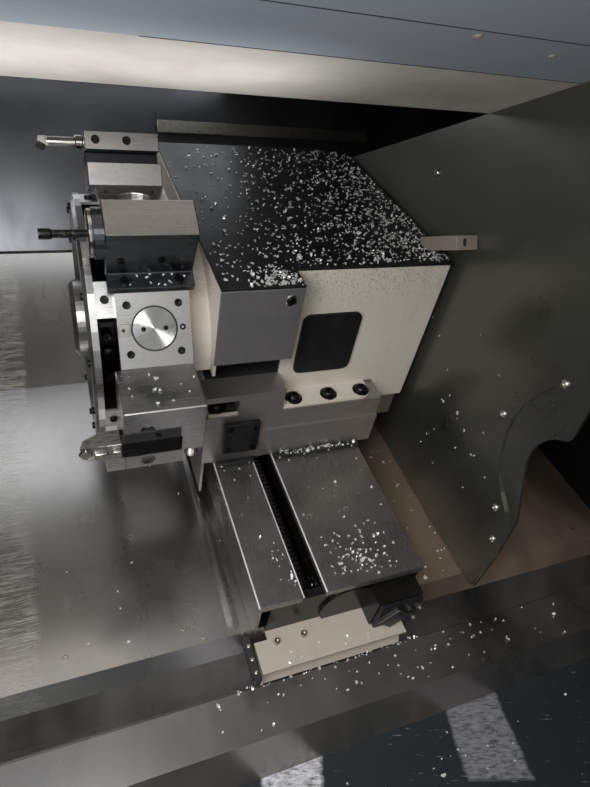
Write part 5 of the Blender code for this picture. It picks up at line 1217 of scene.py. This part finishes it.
class LATHE_OT_swarf(bpy.types.Operator):
    """Swarf lying on the housing, slide, saddle, covers, walls and pan."""

    bl_idname = "lathe.swarf"
    bl_label = "Swarf"

    def execute(self, context):
        sizes = context.scene.lathe_sizes
        rng = np.random.default_rng(7)
        beds = (
            (
                "housing", "cross_slide", "housing_top_cover", 1560, *bed(0.084, -0.108, HOUSING_TOP, 0.36, 0.41),
                lambda a, b: np.clip(0.03 + 0.85 * a**1.6 * (1.05 - 0.6 * b) + 0.22 * np.exp(-12 * b), 0, 1),
            ),
            (
                "housing_front", "cross_slide", "housing_top_cover", 36,
                *bed(0.084, -0.152, HOUSING_TOP, 0.108, 0.04), evenly,
            ),
            ("foot", "cross_slide", "turret_housing", 22, *bed(0.2, -0.149, -0.083, 0.15, 0.034), evenly),
            (
                "cover_heap", "cross_slide", "housing_top_cover", 130,
                *bed(0.128, -0.15, HOUSING_TOP, 0.062, 0.062),
                lambda a, b: np.clip(1.1 - 1.3 * b, 0.05, 1) * (0.35 + 0.65 * a),
            ),
            (
                "scraper", "cross_slide", "slide_base", 60, *bed(0.204, -0.1688, -0.1785, 0.138, 0.009),
                lambda a, b: 0.9 - 0.5 * a,
            ),
            (
                "ledge", "saddle", "saddle_plate_right", 120, *bed(0.196, -0.402, PLATE_TOP, 0.15, 0.236),
                lambda a, b: 0.04 + 0.96 * np.exp(-((a - 0.45) ** 2 / 0.055 + (b - 0.12) ** 2 / 0.03)),
            ),
            (
                "left_plate", "saddle", "saddle_plate_left", 26, *bed(0.098, -0.402, PLATE_TOP, 0.056, 0.236),
                lambda a, b: 0.03 + 0.97 * np.exp(-((a - 1.0) ** 2 / 0.1 + (b - 0.15) ** 2 / 0.03)),
            ),
            (
                "groove", "saddle", "saddle_casting", 46, *bed(0.161, -0.402, PLATE_TOP - 0.043, 0.029, 0.12),
                lambda a, b: np.exp(-3.0 * b),
            ),
            (
                "shelf", "saddle", "saddle_casting", 16, *bed(0.1, -0.458, SHELF_TOP, 0.216, 0.02),
                lambda a, b: 0.1 + 0.8 * a * b,
            ),
            ("right_cover", "saddle", "right_way_cover", 45, *bed(0.353, -0.396, COVER_W, 0.102, 0.38), evenly),
            (
                "right_cover_rear", "saddle", "right_way_cover", 20, *bed(0.353, -0.016, COVER_W, 0.102, 0.16),
                evenly,
            ),
            (
                "sill_line", "machine", "front_sill", 70, level(0.06, -0.236, -0.5115), 0.3 * ALONG,
                0.009 * (UP * 0.5 + AWAY * 0.866), UP - 0.577 * AWAY, lambda a, b: 0.3 + 0.6 * a,
            ),
            (
                "left_cover", "saddle", "left_way_cover", 16, *bed(-0.23, -0.396, COVER_W, 0.32, 0.5),
                lambda a, b: 0.1 + 0.8 * a,
            ),
            (
                "wall", "machine", "wall_guard_plate", 90, level(WALL_X, -0.27, -0.33), 0.64 * AWAY + 0.25 * UP,
                0.29 * UP, -ALONG, lambda a, b: 0.15 + 0.7 * (1 - b),
            ),
            (
                "sill", "machine", "front_sill", 60, level(0.0, -0.288, -0.5415), 0.64 * ALONG,
                level(0, -0.236, -0.5115) - level(0, -0.288, -0.5415), UP - 0.577 * AWAY,
                lambda a, b: 0.1 + 0.6 * a,
            ),
            ("pan", "machine", "chip_pan", 170, level(-0.3, -0.84, -0.6068), 0.9 * ALONG, 0.52 * AWAY, UP, evenly),
            (
                "turning_holder", "turret", "turning_holder", 12, station(0.0, -0.048, 0.0482, FACET_R + 0.01),
                0.09 * ALONG, 0.062 * station_axes(0.0)[0], station_axes(0.0)[1], evenly,
            ),
            (
                "low_flange", "turret", "boring_holder_low", 14, station(60.0, -0.044, -0.05, FACET_R + 0.0122),
                0.088 * ALONG, 0.016 * station_axes(60.0)[1], station_axes(60.0)[0], lambda a, b: 0.1 + 0.8 * a,
            ),
        )
        for name, body, slot, count, corner, edge_a, edge_b, normal, weight in beds:
            number = int(count * sizes.swarf_amount)
            if not number:
                continue
            where = scattered(rng, number, corner, edge_a, edge_b, weight)
            flakes = chips(rng, number, sizes.swarf_length)
            normal = np.asarray(normal, float) / np.linalg.norm(normal)
            make_piece(f"swarf_{name}", lay_chips(rng, flakes, where, normal), "swarf", body)
        return {"FINISHED"}


class LATHE_OT_door_details(bpy.types.Operator):
    """Rubber seal round the door's window."""

    bl_idname = "lathe.door_details"
    bl_label = "Door details"

    def execute(self, context):
        seal = context.scene.lathe_sizes.door_seal
        low, high = (np.array(corner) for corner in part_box("door_window"))
        front = np.array(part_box("door_frame")[0])[1] + 0.062
        size = high - low
        middle = (low + high) / 2
        outer = pad_rings(
            size[0] + 2 * seal, size[2] + 2 * seal, 0.03 + seal,
            [
                (0.0, 0.0), (0.0, 0.0024), (0.0015, 0.004), (seal - 0.0005, 0.004), (seal + 0.003, 0.0022),
                (seal + 0.003, -0.001),
            ],
        )
        face = np.array([middle[0], front, middle[2]])
        points, faces = set_down(outer, [face], axes_for(-AWAY))
        rings, segments = outer.shape[:2]
        last = (rings - 1) * segments
        faces = faces[:-2]
        for j in range(segments):
            after = (j + 1) % segments
            faces.append([after, j, last + j, last + after])
        make_piece("window_seal", (points, faces), "rubber", "door")
        return {"FINISHED"}


class LATHE_OT_cabinet_details(bpy.types.Operator):
    """Service covers, vents, hinges and locks on the outside of the cabinet."""

    bl_idname = "lathe.cabinet_details"
    bl_label = "Cabinet details"

    def execute(self, context):
        for name, slot, middle, normal, along, length, width, hinged in CABINET_COVERS:
            normal, along = np.array(normal, float), np.array(along, float)
            axes = axes_for(normal, along)
            coat = "grey" if slot == "front_apron" else "cream"
            rows = [(0.0, 0.0), (0.0, 0.0006), (0.0007, 0.0012)]
            sheet = pad(length, width, 0.012, rows, middle, normal, along)
            make_piece(name, sheet, coat, "machine")
            rows = [(0.0, -0.0001), (0.0003, 0.0003)]
            gap = pad(length + 0.005, width + 0.005, 0.014, rows, middle, normal, along)
            make_piece(name + "_gap", gap, "dark", "machine")
            x, y = (
                np.linspace(-0.5, 0.5, max(2, int(round((side - 0.05) / 0.22)) + 1)) * (side - 0.044)
                for side in (length, width)
            )
            spots = [(a, b) for a in x for b in y if a in (x[0], x[-1]) or b in (y[0], y[-1])]
            if hinged:
                spots = [(a, b) for a, b in spots if b == y[0]]
            places = [(middle + a * axes[0] + b * axes[1] + 0.001 * axes[2], normal) for a, b in spots]
            fasten(name + "_screws", places, socket_screw(0.0055, 0.0007), "zinc", "machine", 20)
            if hinged:
                rows = [(0.0, 0.0), (0.0006, 0.0011), (0.0035, 0.0017)]
                hinge = [middle + a * axes[0] + (y[0] - 0.02) * axes[1] for a in x[[0, len(x) // 2, -1]]]
                barrels = pad(0.09, 0.013, 0.004, rows, hinge, normal, along)
                make_piece(name + "_hinges", barrels, "zinc", "machine")
                lock = [
                    middle + a * axes[0] + (y[-1] - 0.012) * axes[1] + 0.001 * axes[2]
                    for a in (x[0] * 0.6, x[-1] * 0.6)
                ]
                disc = [(0.015, 0.0), (0.015, 0.0003), (0.014, 0.0008)]
                fasten(name + "_locks", [(spot, normal) for spot in lock], disc, "bright", "machine", 32)
                # Dark bars for the locks' key slots: painted shade.
                rows, slots = [(0.0, 0.0), (0.0002, 0.0003)], [spot + 0.0007 * normal for spot in lock]
                bit = pad(0.016, 0.0034, 0.001, rows, slots, normal, along)
                make_piece(name + "_lock_slot_shades", bit, "dark", "machine")
            a, b = np.meshgrid(np.arange(8) * 0.026 - length * 0.34, (np.arange(2) - 0.5) * 0.2, indexing="ij")
            vents = middle + a.reshape(-1, 1) * axes[0] + b.reshape(-1, 1) * axes[1] + 0.001 * axes[2]
            turned = np.stack([axes[1], -axes[0], axes[2]])
            # Dark strips behind the louvres for the vent openings: painted shade.
            vent_shade_strips = set_down(
                pad_rings(0.158, 0.004, 0.0015, [(0.0, 0.0), (0.0003, 0.0003)]), vents - 0.0072 * axes[0], turned,
            )
            make_piece(name + "_vent_gap_shades", vent_shade_strips, "dark", "machine")
            rows = [(0.0, 0.0), (0.0016, 0.0005), (0.004, 0.0008)]
            louvres = set_down(pad_rings(0.16, 0.012, 0.005, rows), vents, turned)
            make_piece(name + "_vents", louvres, coat, "machine")
        for name, slot, length, middle, normal, along in (
            ("back_seam", "back_panel", 1.6, (-0.07, 0.82, 0.86), AWAY, UP),
            ("roof_seam", "roof_panel", 1.505, (-0.07, 0.057, 1.69), UP, AWAY),
        ):
            seam = pad(length, 0.0045, 0.001, [(0.0, 0.0), (0.0004, 0.0004)], middle, normal, along)
            make_piece(name, seam, "dark", "machine")
        header = [((x, -0.729, 1.61), -AWAY) for x in np.linspace(-1.05, 1.05, 10)]
        fasten("header_screws", header, dome_screw(0.007, 0.003), "oxide", "machine")
        return {"FINISHED"}


# Service covers: name, solid, middle, outward normal, direction of the length, length, width, hinged or screwed
CABINET_COVERS = (
    ("back_cover_left", "back_panel", (-0.6, 0.82, 0.86), (0, 1, 0), (0, 0, 1), 1.3, 0.86, False),
    ("back_cover_right", "back_panel", (0.52, 0.82, 0.86), (0, 1, 0), (0, 0, 1), 1.3, 0.96, False),
    ("left_door", "left_side_panel", (-1.115, 0.43, 0.86), (-1, 0, 0), (0, 0, 1), 1.42, 0.62, True),
    ("left_cover", "left_side_panel", (-1.115, -0.31, 0.43), (-1, 0, 0), (0, 0, 1), 0.56, 0.62, False),
    ("right_door", "right_side_panel", (1.115, 0.43, 0.86), (1, 0, 0), (0, 0, 1), 1.42, 0.62, True),
    ("right_cover", "right_side_panel", (1.115, -0.31, 0.86), (1, 0, 0), (0, 0, 1), 1.42, 0.62, False),
    ("roof_cover_left", "roof_panel", (-0.6, 0.057, 1.69), (0, 0, 1), (0, 1, 0), 1.24, 0.84, False),
    ("roof_cover_right", "roof_panel", (0.52, 0.057, 1.69), (0, 0, 1), (0, 1, 0), 1.24, 0.96, False),
    ("apron_cover_left", "front_apron", (-0.74, -0.729, 0.37), (0, -1, 0), (0, 0, 1), 0.5, 0.66, False),
    ("apron_cover_middle", "front_apron", (0.0, -0.729, 0.37), (0, -1, 0), (0, 0, 1), 0.5, 0.66, False),
    ("apron_cover_right", "front_apron", (0.74, -0.729, 0.37), (0, -1, 0), (0, 0, 1), 0.5, 0.66, False),
)


class LATHE_OT_panel_controls(bpy.types.Operator):
    """Keys and dial marks on the control panel."""

    bl_idname = "lathe.panel_controls"
    bl_label = "Panel controls"

    def execute(self, context):
        low, high = (np.array(corner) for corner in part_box("operator_panel"))
        face = low[1] - 0.0001
        rows = [(0.0, 0.0), (0.0, 0.0022), (0.001, 0.003)]
        columns = high[0] - 0.08 + np.arange(3) * 0.023
        heights = high[2] - 0.05 - np.arange(8) * 0.023
        x, z = np.meshgrid(columns, heights, indexing="ij")
        origins = np.stack([x.ravel(), np.full(x.size, face), z.ravel()], -1)
        keys = pad(0.017, 0.015, 0.0025, rows, origins, -AWAY)
        make_piece("panel_keys", keys, "key", "control_panel")
        columns = low[0] + 0.048 + np.arange(9) * 0.0295
        soft = np.stack([columns, np.full(9, face), np.full(9, high[2] - 0.245)], -1)
        keys = pad(0.022, 0.012, 0.002, rows, soft, -AWAY)
        make_piece("display_keys", keys, "plastic black", "control_panel")
        dial_low, dial_high = (np.array(corner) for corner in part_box("feed_dial"))
        hub = (dial_low + dial_high) / 2
        turn = np.radians(np.arange(-135, 136, 27.0))
        spokes = np.stack([np.sin(turn), 0 * turn, np.cos(turn)], -1)
        origins = hub * [1, 0, 1] + [0, face, 0] + 0.029 * spokes
        axes = np.stack([np.cross(spokes, AWAY), spokes, np.broadcast_to(-AWAY, spokes.shape)], 1)
        ticks = set_down(pad_rings(0.0014, 0.005, 0.0003, [(0.0, 0.0), (0.0001, 0.0004)], 3), origins, axes)
        make_piece("dial_marks", ticks, "key", "control_panel")
        return {"FINISHED"}


class LATHE_OT_drive_details(bpy.types.Operator):
    """Bolts in the chuck's face."""

    bl_idname = "lathe.drive_details"
    bl_label = "Drive details"

    def execute(self, context):
        ring = []
        for i in range(6):
            turn = 2 * np.pi * (i + 0.5) / 6
            spoke = np.cos(turn) * OUT + np.sin(turn) * UPHILL
            ring.append((SPINDLE - 0.4952 * ALONG + 0.085 * spoke, ALONG))
        fasten("chuck_bolts", ring, socket_screw(0.0065, 0.002), "oxide", "spindle")
        return {"FINISHED"}


class LATHE_OT_stage(bpy.types.Operator):
    """Floor, soft lamps, background and the camera."""

    bl_idname = "lathe.stage"
    bl_label = "Stage"

    def execute(self, context):
        scene = context.scene
        scene.view_settings.view_transform = "Standard"
        material = bpy.data.materials.new("studio floor")
        material.use_nodes = True
        shader = material.node_tree.nodes["Principled BSDF"]
        shader.inputs["Base Color"].default_value = scene.lathe_colours.floor
        shader.inputs["Roughness"].default_value = 0.7
        side = np.array([-1.0, 1.0]) * 12.0
        x, y = np.meshgrid(side, side)
        data = bpy.data.meshes.new("studio floor")
        data.from_pydata(np.stack([x.ravel(), y.ravel(), np.full(4, -0.0005)], -1).tolist(), [], [[0, 1, 3, 2]])
        data.materials.append(material)
        floor = bpy.data.objects.new("studio_floor", data)
        scene.collection.objects.link(floor)

        world = bpy.data.worlds.new("studio")
        scene.world = world
        world.use_nodes = True
        tree = world.node_tree
        tree.nodes.clear()
        path = add(tree, "LightPath").node.outputs
        seen = add(tree, "Math MAXIMUM", path["Is Camera Ray"], path["Is Transmission Ray"])
        seen = add(tree, "Math MAXIMUM", seen, path["Is Glossy Ray"])
        strength = add(tree, "MapRange", seen, 0.0, 1.0, 0.55, 0.92)
        background = add(tree, "Background", "#F4F4F2", strength)
        tree.links.new(background, tree.nodes.new("ShaderNodeOutputWorld").inputs["Surface"])

        def area(name, place, target, size, power, tint="#FFFFFF", spread_angle=180.0):
            lamp = bpy.data.lights.new(name, "AREA")
            lamp.shape = "RECTANGLE"
            lamp.size, lamp.size_y = size
            lamp.energy = power
            lamp.color = linear(tint)[:3]
            lamp.spread = np.radians(spread_angle)
            obj = bpy.data.objects.new(name, lamp)
            z = np.asarray(place, float) - np.asarray(target, float)
            axes = axes_for(z)
            turn = Matrix(axes.T.tolist()).to_4x4()
            obj.matrix_world = Matrix.Translation(list(place)) @ turn
            obj.visible_camera = False
            scene.collection.objects.link(obj)

        middle = level(0.0, 0.0, 0.0)
        area("front lamp", (-1.6, -3.4, 3.4), middle, (2.2, 2.2), 132)
        area("right lamp", (3.6, -1.0, 2.8), middle, (2.0, 2.0), 55)
        area("back lamp", (-1.0, 3.8, 3.2), middle, (2.5, 2.0), 62)
        area("left lamp", (-3.8, 0.4, 2.6), middle, (2.0, 2.0), 46)
        area(
            "ceiling wash", level(-0.13, -0.295, 0.1), level(-0.13, -0.287, 0.262), (0.58, 0.05), 0.29,
            spread_angle=84.0,
        )
        area("left fill", level(-0.42, -0.74, -0.02), level(-0.05, 0.1, 0.0), (0.26, 0.46), 1.5)
        area("upper lamp", level(-0.08, 0.271, 0.445), level(-0.08, 0.171, -0.215), (0.72, 0.262), 0.71, "#F6FAFF")
        area("door lamp", level(-0.25, -0.8, 0.16), level(0.12, 0.1, -0.1), (0.4, 0.2), 2.6)

        # The camera that the photograph's edges and corners give
        camera = bpy.data.objects.new("camera", bpy.data.cameras.new("camera"))
        camera.data.lens = 26.28
        camera.data.sensor_width = 36.0
        camera.data.clip_start = 0.01
        right = 0.928 * ALONG - 0.333 * UPHILL + 0.168 * OUT
        forward = 0.356 * ALONG + 0.656 * UPHILL - 0.665 * OUT
        forward = forward / np.linalg.norm(forward)
        right = right - forward * (right @ forward)
        right = right / np.linalg.norm(right)
        turn = Matrix(np.stack([right, np.cross(right, forward), -forward], 1).tolist()).to_4x4()
        camera.matrix_world = Matrix.Translation(slope(-0.1005, -0.7288, 0.5295).tolist()) @ turn
        scene.collection.objects.link(camera)
        scene.camera = camera
        return {"FINISHED"}


class LATHE_PT_panel(bpy.types.Panel):
    """Lists the sizes, the colours and the steps."""

    bl_label = "Lathe"
    bl_idname = "LATHE_PT_panel"
    bl_space_type = "VIEW_3D"
    bl_region_type = "UI"
    bl_category = "Lathe"

    def draw(self, context):
        for group in (context.scene.lathe_sizes, context.scene.lathe_colours):
            for name in group.__annotations__:
                self.layout.prop(group, name)
        for step in STEPS:
            self.layout.operator(step.bl_idname)


STEPS = (
    LATHE_OT_stage,
    LATHE_OT_finishes,
    LATHE_OT_turret_details,
    LATHE_OT_holder_details,
    LATHE_OT_housing_details,
    LATHE_OT_saddle_details,
    LATHE_OT_guard_details,
    LATHE_OT_drive_details,
    LATHE_OT_door_details,
    LATHE_OT_cabinet_details,
    LATHE_OT_panel_controls,
    LATHE_OT_swarf,
)
CLASSES = (LatheSizes, LatheColours, *STEPS, LATHE_PT_panel)


def register():
    for one in CLASSES:
        bpy.utils.register_class(one)
    bpy.types.Scene.lathe_sizes = bpy.props.PointerProperty(type=LatheSizes)
    bpy.types.Scene.lathe_colours = bpy.props.PointerProperty(type=LatheColours)


def unregister():
    del bpy.types.Scene.lathe_sizes
    del bpy.types.Scene.lathe_colours
    for one in reversed(CLASSES):
        bpy.utils.unregister_class(one)


def main():
    register()
    for step in STEPS:
        group, name = step.bl_idname.split(".")
        getattr(getattr(bpy.ops, group), name)()


if __name__ == "__main__":
    main()
